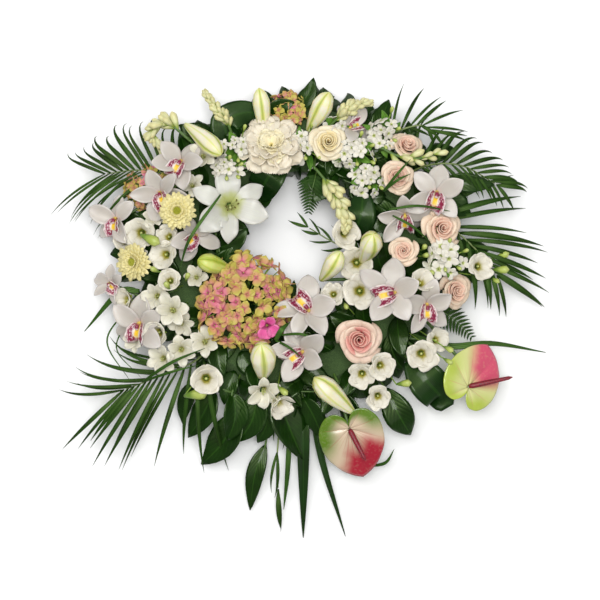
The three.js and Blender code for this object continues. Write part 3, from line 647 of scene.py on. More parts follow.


# name: the function that makes it, then what that function takes. A colour is the name of a
# setting, or red, green and blue from 0 to 255.
# In a knobbly finish the first colour, between the grains, is painted shade in their hollows.
FINISHES = {
    "orchid_petal": (petal, "orchid", (206, 201, 196), (190, 172, 166), (196, 188, 181),
                     (180, 166, 164),
                     0.5, 0.25, 0.35, 0.42),
    "orchid_lip": (orchid_lip, (214, 204, 198), (186, 110, 142), (212, 200, 196), "orchid_blotch",
                   "orchid_crest"),
    "orchid_column": (orchid_column, (226, 200, 90), "orchid_blotch", (218, 196, 188)),
    "lily_petal": (petal, "lily", (214, 210, 208), (172, 177, 109), (203, 203, 177),
                   (194, 195, 177),
                   0.3, 0.42, 0.5, 0.42),
    "lily_bud": (bud_skin, "lily_bud", (222, 216, 172), "bud_rib", (142, 158, 44)),
    "young_bud": (bud_skin, (196, 202, 112), (180, 190, 84), (160, 176, 48), (142, 158, 44)),
    "filament": (stalk, (159, 168, 87), (186, 190, 127)),
    "anther": (knobbly, (63, 56, 18), (109, 100, 36), 1500.0, 0.8),
    "rose_pink": (petal, "rose_pink", (214, 170, 152), (168, 62, 68), (210, 177, 154),
                  (194, 136, 127),
                  0.75, 0.35, 0.35, 0.5),
    "rose_pink_outer": (petal, "rose_pink_outer", (217, 201, 177), (203, 145, 132), (214, 194, 167),
                        (201, 167, 145), 0.6, 0.3, 0.3, 0.5),
    "rose_peach": (petal, "rose_peach", (217, 192, 167), (205, 136, 118), (217, 192, 172),
                   (208, 162, 142),
                   0.6, 0.35, 0.3, 0.5),
    "rose_peach_outer": (petal, "rose_peach_outer", (219, 205, 181), (210, 168, 141),
                         (217, 199, 172),
                         (206, 177, 148), 0.6, 0.3, 0.3, 0.5),
    "rose_cream": (petal, "cream", (217, 205, 167), (206, 172, 100), (215, 201, 159),
                   (208, 185, 136),
                   0.6, 0.35, 0.3, 0.5),
    "rose_cream_outer": (petal, (220, 205, 172), (224, 214, 188), (216, 190, 138), (216, 203, 172),
                         (210, 190, 150), 0.6, 0.35, 0.3, 0.5),
    "white_petal": (petal, "white", (220, 214, 200), (158, 150, 54), (196, 196, 162),
                    (192, 186, 162),
                    0.5, 0.56, 0.35, 0.5),
    "freesia_petal": (petal, "freesia", (216, 211, 200), (190, 184, 96), (190, 190, 152),
                      (186, 184, 158),
                      0.5, 0.35, 0.4, 0.45),
    "small_petal": (petal, "white", (220, 217, 208), (180, 188, 112), (205, 208, 186), "white",
                    0.5, 0.25, 0.1, 0.5),
    "peony_petal": (petal, "peony", (215, 203, 183), (210, 195, 132), (206, 194, 172),
                    (203, 183, 154),
                    0.5, 0.35, 0.4, 0.52),
    "peony_heart": (petal, "peony_heart", (224, 216, 188), (214, 200, 136), (216, 205, 160),
                    (214, 198, 150),
                    0.5, 0.3, 0.4, 0.52),
    "ray": (petal, "chrysanthemum", (217, 208, 163), (177, 172, 60), (203, 194, 136),
            (194, 181, 118),
            0.4, 0.3, 0.5, 0.5),
    "eye": (knobbly, (109, 116, 22), (167, 167, 47), 1100.0, 0.7),
    "magenta_petal": (petal, "magenta", (205, 136, 163), (136, 36, 81), (195, 109, 145),
                      (154, 54, 100),
                      0.4, 0.3, 0.4, 0.5),
    "floret": (floret, "hydrangea_pink", "hydrangea", "hydrangea_green", (188, 84, 110)),
    "spathe_right": (spathe, (202, 204, 136), (168, 184, 70), (200, 78, 104), 0.435, 0.17, 0.05),
    "spathe_lower": (spathe, (200, 180, 152), (84, 116, 14), (158, 14, 40), 0.545, 0.155, 0.2),
    "spadix": (knobbly, (72, 4, 16), (136, 18, 38), 700.0, 0.45),
    "tuberose_bud": (petal, "tuberose", (205, 194, 136), (136, 154, 63), (194, 186, 127),
                     (172, 168, 100),
                     0.7, 0.5, 0.4, 0.45),
    "green_bud": (petal, (161, 177, 76), (186, 194, 118), (100, 132, 40), (152, 168, 72),
                  (136, 157, 54),
                  0.7, 0.6, 0.4, 0.42),
    "sepal": (leaflet, (104, 136, 48), (134, 160, 66), (150, 172, 86)),
    "stem": (stalk, (58, 88, 34), (92, 122, 52)),
    "broad_leaf": (foliage, "leaf", "leaf_light", (38, 74, 18), (48, 78, 30), 26.0, 0.6, 0.34,
                   {"specular_ior_level": 0.28, "coat_weight": 0.2, "coat_roughness": 0.12}),
    "young_leaf": (foliage, (48, 88, 22), (84, 124, 40), (110, 146, 60), (110, 142, 76)),
    "aspidistra": (leaflet, "aspidistra", (16, 46, 12), (32, 66, 18), 0.34, 23.0,
                   {"specular_ior_level": 0.28, "coat_weight": 0.2, "coat_roughness": 0.14}),
    "grass": (leaflet, (24, 50, 14), (46, 80, 26), (60, 92, 34), 0.4, 5.0),
    "palm": (leaflet, "palm", (38, 66, 20), (64, 88, 38), 0.36, 5.0, {"specular_ior_level": 0.35}),
    "rachis": (stalk, (86, 108, 54), (128, 142, 82)),
    "fern": (foliage, "fern", (28, 58, 20), (48, 78, 34), (52, 80, 38), 14.0, 0.5, 0.5,
             {"specular_ior_level": 0.25}),
    "foam": (knobbly, (30, 50, 24), (74, 100, 52), 1400.0, 0.95, 0.0008),
    "tray": (knobbly, (20, 34, 22), (30, 48, 32), 2200.0, 0.4, 0.0001),
}


def made_finish(name):
    """The material of a finish, made the first time that it is asked for."""
    label = name.replace("_", " ").capitalize()
    if label in bpy.data.materials:
        return bpy.data.materials[label]
    colours = bpy.context.scene.wreath_colours
    maker, *values = FINISHES[name]
    shader = values.pop() if isinstance(values[-1], dict) else {}
    for i, value in enumerate(values):
        if isinstance(value, str):
            values[i] = getattr(colours, value)
        elif isinstance(value, tuple):
            values[i] = srgb(*value)
    return maker(label, *values, **shader)


def make_piece(name, patches, nodes=()):
    """Makes one mesh from many patches, with a material for each finish among them. It rides on the
    wreath, and stands for the solids of its own flower or leaf."""
    finishes = sorted({p.finish for p in patches})
    starts = np.concatenate([[0], np.cumsum([len(p.points) for p in patches])[:-1]])
    points = np.concatenate([p.points for p in patches]) * MM + np.array([RING_X, RING_Y, 0])
    quads = np.concatenate([p.quads + s for p, s in zip(patches, starts)])
    tris = np.concatenate([p.tris + s for p, s in zip(patches, starts)])
    marks = np.concatenate([p.marks for p in patches])
    kinds = [np.full(len(p.quads), finishes.index(p.finish)) for p in patches]
    kinds += [np.full(len(p.tris), finishes.index(p.finish)) for p in patches]
    flat = np.concatenate([p.flat for p in patches] + [np.zeros(len(tris), bool)])
    mesh = bpy.data.meshes.new(name)
    mesh.vertices.add(len(points))
    mesh.vertices.foreach_set("co", points.ravel())
    corners = np.concatenate([quads.ravel(), tris.ravel()])
    mesh.loops.add(len(corners))
    mesh.loops.foreach_set("vertex_index", corners)
    first = np.concatenate([np.arange(len(quads)) * 4, len(quads) * 4 + np.arange(len(tris)) * 3])
    mesh.polygons.add(len(first))
    mesh.polygons.foreach_set("loop_start", first)
    mesh.polygons.foreach_set("material_index", np.concatenate(kinds))
    mesh.update(calc_edges=True)
    mesh.polygons.foreach_set("use_smooth", ~flat)
    layer = mesh.uv_layers.new(name="UVMap")
    layer.uv.foreach_set("vector", marks[corners][:, :2].ravel())
    for column, mark in ((2, "tone"), (3, "front")):
        attribute = mesh.attributes.new(mark, "FLOAT", "POINT")
        attribute.data.foreach_set("value", np.ascontiguousarray(marks[:, column]))
    for finish in finishes:
        mesh.materials.append(made_finish(finish))
    mesh.update()
    piece = bpy.data.objects.new(name, mesh)
    bpy.context.scene.collection.objects.link(piece)
    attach(piece, "root")
    if nodes:
        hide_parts(*nodes)


# ------------------------------------------------------------------------------------- flowers
# Each takes its size in mm and a random generator, and returns patches made about +Z, with the
# flower's top side at 90 degrees. Seen from in front, the angles go anticlockwise.

TEPAL = outline(0.52, 0.24, 0.03, 0.9, 0.72)
FAN = outline(0.78, 0.22, 0.5, 0.9, 0.5)
BLUNT = outline(0.6, 0.3, 0.25, 0.8, 0.5)
POINTED = outline(0.42, 0.1, 0.02, 0.8, 1.1)


def orchid(s, rng):
    """Five broad tepals, a boat-shaped lip that opens away from the top one, and a column that
    arches over it."""
    ahead = level(np.array([90, 226, 314, 156, 24]) + rng.uniform(-15, 15, 5))
    front = np.array([0, 0, 0, 1, 1.0])
    base = ahead * 0.04 * s + UP * (s * (0.05 * front - 0.04))[:, None]
    tepals = blades(
        base, ahead, UP, s * (1.06 + rng.uniform(-0.12, 0.1, 5)), s * rng.uniform(0.54, 0.72, 5),
        TEPAL, lift=0.35 + 0.15 * front + rng.uniform(-0.3, 0.4, 5),
        curl=-0.65 + rng.uniform(-0.6, 0.5, 5), late=1.3,
        cup=0.12 + rng.uniform(-0.2, 0.3, 5), ruffle=0.03, waves=2, phase=rng.uniform(0, 6, 5),
        sway=rng.uniform(-0.25, 0.25, 5), twist=rng.uniform(-0.5, 0.5, 5), rows=13, cols=9,
    )
    lip = blades(
        [0, 0.05 * s, 0.04 * s], [0, -1, 0], UP, 0.7 * s, 0.64 * s,
        outline(0.62, 0.45, 0.45, 1, 0.5),
        lift=0.75, curl=-2.1, late=1.5, cup=0.6, ruffle=0.07, waves=4.5, rows=19, cols=13,
    )
    column = np.array([[0, 0.1, 0.02], [0, 0.07, 0.15], [0, -0.01, 0.23], [0, -0.09, 0.24],
                       [0, -0.13, 0.21]]) * s
    radius = np.array([0.05, 0.055, 0.062, 0.07, 0.045]) * s
    return [
        shells("orchid_petal", tepals, 1.0, rng.uniform(0.3, 0.9, 5)),
        shells("orchid_lip", lip, 0.8),
        tubes("orchid_column", column, radius, 9),
        tubes("stem", [[0, 0.02 * s, -0.05 * s], [0, 0, -0.12 * s], [0, 0, -0.25 * s]],
              0.045 * s, 7),
    ]


def lily(s, rng):
    """Six tepals that rise from a narrow throat and arch outwards, the inner three wider, with six
    stamens and a style."""
    degrees = np.array([90, 210, 330, 30, 150, 270]) + rng.uniform(-8, 8, 6)
    ahead = level(degrees)
    inner = np.array([0, 0, 0, 1, 1, 1.0])
    base = ahead * 0.06 * s - UP * (0.5 * s) + UP * (0.02 * s * inner)[:, None]
    tepals = blades(
        base, ahead, UP, s * (1.18 + rng.uniform(-0.06, 0.07, 6)), s * (0.54 + 0.18 * inner),
        outline(0.6, 0.3, 0.02, 0.9, 0.8), lift=1.15, curl=-1.5 + rng.uniform(-0.35, 0.2, 6),
        late=0.7, cup=0.1, fold=-0.06, ruffle=0.055, waves=2.6, phase=rng.uniform(0, 6, 6),
        twist=rng.uniform(-0.3, 0.3, 6), rows=17, cols=9,
    )
    spread_out = level(degrees * 0.6 - 110) * rng.uniform(0.1, 0.26, (6, 1))
    steps = np.linspace(0, 1, 6)[None, :, None]
    filament = -0.45 * s * UP + steps * (spread_out[:, None] * s + UP * 0.42 * s)
    lying = level(rng.uniform(0, 360, 6))[:, None]
    anther = filament[:, -1:] + np.linspace(-0.035, 0.035, 4)[None, :, None] * s * lying
    style = np.array([[0, 0, -0.45], [0.02, -0.01, -0.2], [0.08, -0.06, 0.02],
                      [0.1, -0.08, 0.05]]) * s
    return [
        shells("lily_petal", tepals, 0.9, rng.uniform(0.3, 0.8, 6)),
        tubes("filament", filament, 0.7, 5),
        tubes("anther", anther, np.array([0.7, 1.2, 1.2, 0.7]), 6),
        tubes("filament", style, np.array([1.6, 1.2, 1.6, 2.2]), 7),
        tubes("stem", [[0, 0, -0.46 * s], [0, 0, -0.56 * s], [0, 0, -0.66 * s]], 0.055 * s, 8),
    ]


def lily_bud(length, rng, full, finish):
    """A closed bud: a long body, widest past its middle, whose three outer tepals meet in grooves
    and have a rib each. `full` is its width as a share of its length."""
    u = np.linspace(0, 1, 19)
    half = np.interp(u, [0, 0.03, 0.2, 0.45, 0.7, 0.88, 0.97, 1],
                     [0.2, 0.3, 0.56, 0.86, 1, 0.74, 0.34, 0.06])
    wave = np.abs(np.cos(1.5 * np.arange(36) / 36 * TAU))
    ribs = 0.97 - 0.1 * wave**8 + 0.05 * (1 - wave) ** 4
    bend = 0.03 * length * np.sin(u * math.pi)
    path = np.stack([bend, 0 * u, (u - 0.5) * length], 1)
    return [tubes(finish, path, (half[:, None] * ribs)[None] * length * full / 2, 36,
                  rng.uniform(0.3, 0.7))]


def calyx(s, low, reach, rng):
    """Five narrow green sepals that hold a flower from `low` below it, and the hip that they
    leave."""
    ahead = around(5, rng.uniform(0, 6))
    sepals = blades(ahead * 0.06 * s - UP * low, ahead, UP, reach * s, 0.22 * s, POINTED, lift=0.9,
                    curl=-0.8, cup=0.2, rows=6, cols=3)
    hip = [[0, 0, -low - 0.14 * s], [0, 0, -low - 0.05 * s], [0, 0, -low + 0.05 * s]]
    return [shells("sepal", sepals, 0.8), tubes("sepal", hip, np.array([0.07, 0.13, 0.08]) * s, 8)]


def rose(s, rng, finish, count):
    """Petals wrapped round the axis at the golden angle. Each is a part of a bowl: its radius grows
    from the foot to the rim, and the rim rolls outwards, more so on the outer petals. One side of a
    petal lies inside its neighbour and the other outside."""
    k = np.arange(count) / (count - 1)
    turn = (np.arange(count) * TURN + rng.uniform(-0.25, 0.25, count))[:, None, None]
    u = np.linspace(0, 1, 11)[None, :, None]
    v = np.linspace(-1, 1, 11)[None, None]
    k3 = k[:, None, None]
    open_rim = s * (0.05 + 0.76 * k3**0.9) * rng.uniform(0.9, 1.08, count)[:, None, None]
    half = 1.35 - 0.55 * k3
    roll = np.clip(u - 0.55, 0, 1) / 0.45
    wave = 1 + rng.uniform(0.02, 0.07, count)[:, None, None] * np.sin(4 * v + 3 * turn)
    radius = open_rim * (0.3 + 0.7 * u**0.55) * (1 + 0.13 * v) * wave
    radius = radius + s * (0.03 + 0.26 * k3) * roll**1.7 * (1 - 0.55 * v**2)
    tall = s * (0.98 - 0.3 * k3**1.3) * rng.uniform(0.95, 1.04, count)[:, None, None]
    round_off = 1 - (0.06 + 0.26 * k3) * np.abs(v) ** 2.4
    height = tall * u**0.9 * round_off - s * (0.02 + 0.2 * k3) * roll**2 - 0.76 * s
    angle = turn + half * v * (0.35 + 0.65 * u**0.5)
    middle = np.stack(np.broadcast_arrays(radius * np.cos(angle), radius * np.sin(angle), height),
                      -1)
    cut = int(count * 0.58)
    tone = rng.uniform(0.2, 0.9, count)
    return [
        shells(finish, middle[:cut], 0.9, tone[:cut]),
        shells(finish + "_outer", middle[cut:], 0.9, tone[cut:]),
        *calyx(s, 0.74 * s, 0.75, rng),
    ]


def lisianthus(s, rng, open_out=1.0):
    """Two rings of wide, wrapped petals in a ruffled cup round a yellow-green throat."""
    count = 6
    inner = np.arange(count) % 2
    ahead = around(count, rng.uniform(0, 6), rng.uniform(-0.16, 0.16, count))
    base = ahead * 0.17 * s - UP * 0.7 * s
    petals = blades(
        base, ahead, UP, s * (1.36 - 0.22 * inner) * rng.uniform(0.92, 1.06, count),
        s * (1.62 - 0.3 * inner), outline(0.74, 0.26, 0.45, 0.9, 0.5), lift=1.36 - 0.04 * inner,
        curl=-open_out * (1.35 - 0.45 * inner + rng.uniform(-0.25, 0.2, count)), late=1.3, cup=0.3,
        ruffle=0.06, waves=2.2, phase=rng.uniform(0, 6, count), sway=rng.uniform(-0.2, 0.2, count),
        rows=11, cols=11,
    )
    style = [[0, 0, -0.68 * s], [0, 0, -0.42 * s], [0, 0, -0.28 * s], [0.02 * s, 0, -0.2 * s]]
    return [
        shells("white_petal", petals, 0.6, rng.uniform(0.3, 0.9, count)),
        tubes("filament", style, np.array([0.13, 0.07, 0.1, 0.05]) * s, 8),
        *calyx(s, 0.8 * s, 0.6, rng),
    ]


def lisianthus_cup(s, rng):
    """A lisianthus that has yet to open wide."""
    return lisianthus(s, rng, 0.72)


def freesia(s, rng):
    """A slim tube that opens into six rounded tepals, with three stamens."""
    ahead = around(6, rng.uniform(0, 6))
    inner = np.arange(6) % 2
    base = ahead * 0.1 * s - UP * 0.95 * s + UP * (0.02 * s * inner)[:, None]
    tepals = blades(
        base, ahead, UP, s * rng.uniform(1.42, 1.66, 6), s * (0.74 + 0.1 * inner),
        outline(0.66, 0.2, 0.14, 1.1, 0.6), lift=1.4, curl=-1.35 + rng.uniform(-0.45, 0.4, 6),
        late=1.3,
        cup=0.28, ruffle=0.045, phase=rng.uniform(0, 6, 6), twist=rng.uniform(-0.4, 0.4, 6),
        rows=10, cols=7,
    )
    tube = [[0, 0, -1.8 * s], [0, 0, -1.4 * s], [0, 0, -0.9 * s]]
    stamen_way = around(3, 0.4)
    stamens = np.linspace(0, 1, 4)[None, :, None] * (stamen_way[:, None] * 0.12 * s + UP * 0.75 * s)
    return [
        shells("freesia_petal", tepals, 0.6, rng.uniform(0.3, 0.9, 6)),
        tubes("green_bud", tube, np.array([0.08, 0.1, 0.16]) * s, 8),
        tubes("filament", stamens - UP * 0.85 * s, 0.045 * s, 5),
    ]


def chrysanthemum(s, rng):
    """Rings of narrow rays, steeper and shorter towards the domed eye of tiny florets."""
    patches = []
    rings = ((0.2, 0.84, 0.0, 21), (0.19, 0.76, 0.12, 21), (0.17, 0.64, 0.3, 20),
             (0.15, 0.5, 0.5, 19),
             (0.12, 0.36, 0.8, 18))
    for i, (start, length, lift, count) in enumerate(rings):
        ahead = around(count, i * 0.11, rng.uniform(-0.04, 0.04, count))
        base = ahead * start * s + UP * (0.02 * s * i)
        rays = blades(base, ahead, UP, s * length * rng.uniform(0.84, 1.08, count), 0.26 * s,
                      outline(0.72, 0.4, 0.4, 1, 0.5), lift=lift + rng.uniform(-0.08, 0.1, count),
                      curl=-0.12 + 0.1 * i, cup=0.3, twist=rng.uniform(-0.3, 0.3, count), rows=6,
                      cols=3)
        patches.append(shells("ray", rays, 0.5, rng.uniform(0.1, 0.9, count)))
    i = np.arange(90)
    r = 0.2 * s * np.sqrt((i + 0.5) / 90)
    spot = np.stack([r * np.cos(i * TURN), r * np.sin(i * TURN), 0.26 * s - 0.9 * r**2 / s], 1)
    florets = spot[:, None] + np.array([[0, 0, -0.12], [0, 0, -0.02], [0, 0, 0.02]])[None] * s
    patches.append(tubes("eye", florets, np.array([0.025, 0.03, 0.012]) * s, 5))
    patches.append(tubes("sepal", [[0, 0, -0.3 * s], [0, 0, -0.12 * s], [0, 0, 0.1 * s]],
                         np.array([0.1, 0.3, 0.22]) * s, 12))
    return patches


def peony(s, rng):
    """Rows of broad toothed petals round a close heart of crumpled yellow ones."""
    patches = []
    rows = ((11, 0.1, 1.08, 0.66, 0.0), (12, 0.16, 0.96, 0.6, 0.2), (11, 0.12, 0.82, 0.56, 0.42))
    for i, (count, lift, length, width, climb) in enumerate(rows):
        ahead = around(count, i * 0.4, rng.uniform(-0.15, 0.15, count))
        middle = blades(
            ahead * 0.1 * s - UP * (0.3 - 0.07 * i) * s, ahead, UP,
            s * length * rng.uniform(0.92, 1.06, count),
            s * width, FAN, lift=lift + climb + rng.uniform(-0.15, 0.25, count),
            curl=-0.3 + rng.uniform(-0.5, 0.5, count), late=1.5,
            cup=0.15 + rng.uniform(-0.1, 0.2, count),
            ruffle=0.12, waves=2.5, phase=rng.uniform(0, 6, count), jag=0.08 * s,
            sway=rng.uniform(-0.35, 0.35, count), rows=11, cols=13,
        )
        patches.append(shells("peony_petal", middle, 0.6, rng.uniform(0.2, 0.9, count)))
    count = 56
    u = np.arange(count) / (count - 1)
    ahead = spoke(np.arange(count) * TURN + rng.uniform(-0.5, 0.5, count))
    heart = blades(
        ahead * (s * (0.01 + 0.42 * u))[:, None] - UP * 0.2 * s, ahead, UP,
        s * rng.uniform(0.36, 0.52, count),
        s * rng.uniform(0.36, 0.52, count), FAN, lift=1.1 - 0.35 * u,
        curl=rng.uniform(-0.9, 0.1, count),
        cup=0.3, ruffle=0.12, waves=2, phase=rng.uniform(0, 6, count), jag=0.07 * s, rows=8, cols=9,
    )
    patches.append(shells("peony_heart", heart, 0.5, rng.uniform(0.2, 0.9, count)))
    return patches + calyx(s, 0.38 * s, 0.7, rng)


def little_star(s, rng):
    """A small flower of five petals."""
    count = 5
    ahead = around(count, rng.uniform(0, 6))
    length = s * rng.uniform(0.8, 1.05, count)
    middle = blades(ahead * 0.06 * s, ahead, UP, length, 0.72 * s, BLUNT,
                    lift=rng.uniform(0.0, 0.5, count), curl=-0.4, cup=0.1, rows=5, cols=5)
    return [shells("small_petal", middle, 0.6, rng.uniform(0.3, 0.9, count))]


def mophead(s, rng, count, floret_size=17):
    """Florets of four pointed sepals, set at the golden angle over a low, uneven dome, with a bead
    in each."""
    squash = 0.5  # the dome's height as a share of its radius
    i = np.arange(count) + rng.uniform(-0.12, 0.12, count)
    z = 1 - 1.12 * (i + 0.5) / count
    r = np.sqrt(1 - z**2)
    way = spoke(i * TURN) * r[:, None] + UP * z[:, None]
    way = unit(way + rng.normal(0, 0.06, (count, 3)))
    at = way * [s, s, s * squash] * rng.uniform(0.78, 1.04, (count, 1))
    look = unit(way * [0.8, 0.8, 1 / squash] + rng.normal(0, 0.36, (count, 3)))
    spin = rng.uniform(0, TAU, count)
    side = unit(np.cross(look, [0.3, 0.2, 1.0]))
    other = np.cross(look, side)
    size = floret_size * rng.uniform(0.72, 1.2, count)
    tone = np.clip(rng.normal(0.5, 0.24, count), 0, 1)
    patches = []
    for k in range(4):
        a = (spin + k * TAU / 4 + rng.normal(0, 0.12, count))[:, None]
        ahead = np.cos(a) * side + np.sin(a) * other
        length = size * rng.uniform(0.8, 1.12, count)
        middle = blades(at + ahead * (0.05 * size)[:, None], ahead, look, length,
                        length * rng.uniform(0.74, 0.96, count),
                        outline(0.52, 0.22, 0.02, 0.9, 0.85),
                        lift=rng.uniform(0.0, 0.5, count), curl=rng.uniform(-0.5, 0.7, count),
                        cup=rng.uniform(0, 0.5, count), twist=rng.uniform(-0.5, 0.5, count), rows=5,
                        cols=5)
        patches.append(shells("floret", middle, 0.5,
                              np.clip(tone + rng.normal(0, 0.05, count), 0, 1)))
    bead = at[:, None] + look[:, None] * np.array([-1.5, 0.9, 2.0])[None, :, None]
    patches.append(tubes("green_bud", bead, np.array([0.7, 0.9, 0.4]), 5, tone))
    stalks = np.stack([at * 0.35 - UP * 0.25 * s * squash, at * 0.7, at - look * 0.5], 1)
    patches.append(tubes("sepal", stalks, 0.8, 4))
    return patches


def anthurium(s, finish, lean, long, tip):
    """A heart-shaped spathe drawn round the foot of its spadix: the radius grows from the notch,
    over a lobe and down to the tip, on each side. The spadix leans over towards `lean`, in degrees,
    and is `long` times its usual length. `tip` is how far out the tip is."""
    w = s / 2
    t = np.linspace(0, 1, 61)
    away = np.abs(2 * t - 1)  # 1 at the notch and 0 at the tip
    lobe = 1.14  # where the lobe ends and the tip begins
    reach = np.interp(1 - away, [0, 0.05, 0.14, 0.26, 0.42, 0.6, 0.8, 0.92, 1],
                      [0.2, 0.42, 0.72, 0.9, 1.02, lobe, lobe + 0.38 * (tip - lobe),
                       lobe + 0.74 * (tip - lobe), tip])
    angle = math.pi / 2 + 0.05 + t * (TAU - 0.1)
    share = np.linspace(0.03, 1, 15)
    r = share[:, None] * reach * w
    x = r * np.cos(angle)
    y = r * np.sin(angle) + 0.45 * w
    quilt = np.abs(np.sin(4.5 * math.pi * t)) ** 0.7
    z = 0.05 * quilt * np.sin(share * math.pi)[:, None] + 0.1 * share[:, None] ** 2
    z = (z - 0.12 * (r / w) ** 2 * 0.6) * w
    heart = shells(finish, np.stack([x, y, z], -1)[None], 1.2)
    way = level([lean])[0] * w
    foot = np.array([0, 0.42 * w, 0])
    middle = foot + 0.36 * long * way + UP * 11
    rod = curve([foot + UP, middle, foot + 1.02 * long * way + UP * 26], 16)
    girth = np.interp(np.linspace(0, 1, 16), [0, 0.1, 0.6, 0.95, 1], [2.8, 4.3, 4.0, 2.8, 0.8])
    return [heart, tubes("spadix", rod, girth, 10)]


def spindle(foot, way, length, girth, finish="green_bud", tone=None):
    """Closed buds: a body that swells past its middle and ends in a blunt tip."""
    u = np.linspace(0, 1, 7)
    foot, way = np.atleast_2d(np.asarray(foot, float)), unit(np.atleast_2d(np.asarray(way, float)))
    length = np.broadcast_to(np.asarray(length, float), (len(foot),))
    path = foot[:, None] + (u * length[:, None])[..., None] * way[:, None]
    swell = np.interp(u, [0, 0.2, 0.55, 0.8, 0.95, 1], [0.22, 0.5, 0.9, 1, 0.6, 0.15])
    return tubes(finish, path, np.broadcast_to(swell, (len(foot), 7)) * girth * length[:, None] / 2,
                 8, tone)


def spike(points, bud_length, rng, count=30):
    """A spike with buds round its outer part, each pointing up it and outwards."""
    line = curve(points, 60)
    t = 0.2 + 0.78 * np.arange(count) / (count - 1)
    spot = (t * 59).astype(int)
    along = unit(np.gradient(line, axis=0))[spot]
    side = unit(np.cross(along, UP))
    turn = (np.arange(count) * 2.4)[:, None]
    side = np.cos(turn) * side + np.sin(turn) * np.cross(along, side)
    way = unit(along + side * (0.85 - 0.6 * t)[:, None] * rng.uniform(0.6, 1.3, (count, 1)))
    length = bud_length * (1.35 - 0.5 * t) * rng.uniform(0.8, 1.15, count)
    return [
        spindle(line[spot], way, length, rng.uniform(0.36, 0.46, (count, 1)), "tuberose_bud",
                rng.uniform(0, 1, count)),
        tubes("stem", line[::4], 2.2, 6),
        leaf_stalk(points[0], points[1], 2.2),
    ]


# ------------------------------------------------------------------------------------- leaves


def leaf_on_line(finish, points, width, shape, rows, up=UP, cols=9, **form):
    """One leaf along a smooth line."""
    return shells(finish, ribbons(curve(points, rows), up, width, shape, cols=cols, **form), 0.8)


def spray_of_leaves(base, tip, width, rng, finish="broad_leaf", bulge=4.0):
    """Broad leaves from their feet to their tips, each bowed up in its middle and a little
    cupped."""
    base, tip, width = (np.atleast_1d(np.asarray(v, float)) for v in (base, tip, width))
    base, tip = base.reshape(-1, 3), tip.reshape(-1, 3)
    count = len(base)
    u = np.linspace(0, 1, 11)[None, :, None]
    flat = (tip - base) * [1, 1, 0]
    side = unit(np.cross(UP, flat))
    reach = np.linalg.norm(flat, axis=1)[:, None]
    sideways = side * reach * rng.uniform(-0.14, 0.14, (count, 1))
    wander = np.sin(u * math.pi) * (sideways + UP * bulge)[:, None]
    paths = base[:, None] + u * (tip - base)[:, None] + wander
    tilt = UP + side * rng.uniform(-0.45, 0.45, (count, 1))
    middle = ribbons(paths, tilt[:, None], width, outline(0.42, 0.12, 0.03, 0.8, 0.9),
                     cup=rng.uniform(-0.12, 0.2, count), fold=rng.uniform(0.04, 0.28, count),
                     ruffle=0.035, waves=2.6, phase=rng.uniform(0, 6, count),
                     twist=rng.uniform(-0.4, 0.4, count), cols=9)
    return shells(finish, middle, 0.8, rng.uniform(0, 1, count))


def ring_of_leaves(count, loose, foot, tip, stray, width, rng, bulge=4.0):
    """Leaves that hang all round one side of the foam, every other one higher. `foot` and `tip`
    give a distance from the axis, how much it changes on the higher ones, a height, and how much
    higher those are. `stray` is how far sideways a tip may be, and `loose` how far an angle may be
    off."""
    out = around(count, 0.0, rng.uniform(-loose, loose, count))
    high = (np.arange(count) % 2)[:, None]
    foot, tip = (
        out * (reach + more * high) + UP * (low + climb * high)
        for reach, more, low, climb in (foot, tip)
    )
    tip = tip + np.cross(UP, out) * rng.uniform(-stray, stray, (count, 1))
    return spray_of_leaves(foot, tip, rng.uniform(*width, count), rng, bulge=bulge)


def frond(points, left, right, rng):
    """A palm frond: a rachis with a row of leaflets on each side. A row's values are its count, its
    longest leaflet and their girth, how far they open from the rachis in degrees, how far they bend
    sideways by their tips in radians, and how late in their length they do so. Each leaflet rises a
    little and then droops, and is folded along its middle."""
    line = curve(points, 120)
    patches = [tubes("rachis", line[::6], np.linspace(2.2, 0.8, 20), 7)]
    for side, (count, longest, girth, angle, bend, late) in ((1, left), (-1, right)):
        t = 0.3 + 0.69 * np.arange(count) / (count - 1) - (0.015 if side < 0 else 0)
        base = line[(t * 119).astype(int)]
        along = unit(np.gradient(line, axis=0)[(t * 119).astype(int)] * [1, 1, 0])
        opening = np.radians(angle * (1.3 - 0.85 * t)) * side + rng.uniform(-0.1, 0.1, count)
        across = np.cross(UP, along)
        ahead = np.cos(opening)[:, None] * along + np.sin(opening)[:, None] * across
        length = longest * (0.72 + 0.28 * np.sin(math.pi * np.minimum(t + 0.12, 1)))
        middle = blades(
            base, ahead, UP, length * rng.uniform(0.84, 1.08, count),
            girth * rng.uniform(0.8, 1.3, count),
            outline(0.38, 0.3, 0.03, 0.8, 1.1), lift=0.24 + rng.uniform(-0.1, 0.12, count),
            curl=-0.8 + rng.uniform(-0.25, 0.2, count),
            sway=side * bend * rng.uniform(0.6, 1.25, count) * (1.25 - 0.7 * t), sway_late=late,
            fold=0.35, twist=rng.uniform(-0.5, 0.5, count), rows=15, cols=3,
        )
        middle[..., 2] = np.maximum(middle[..., 2], 3)
        patches.append(shells("palm", middle, 0.5, rng.uniform(0, 1, count)))
    return patches


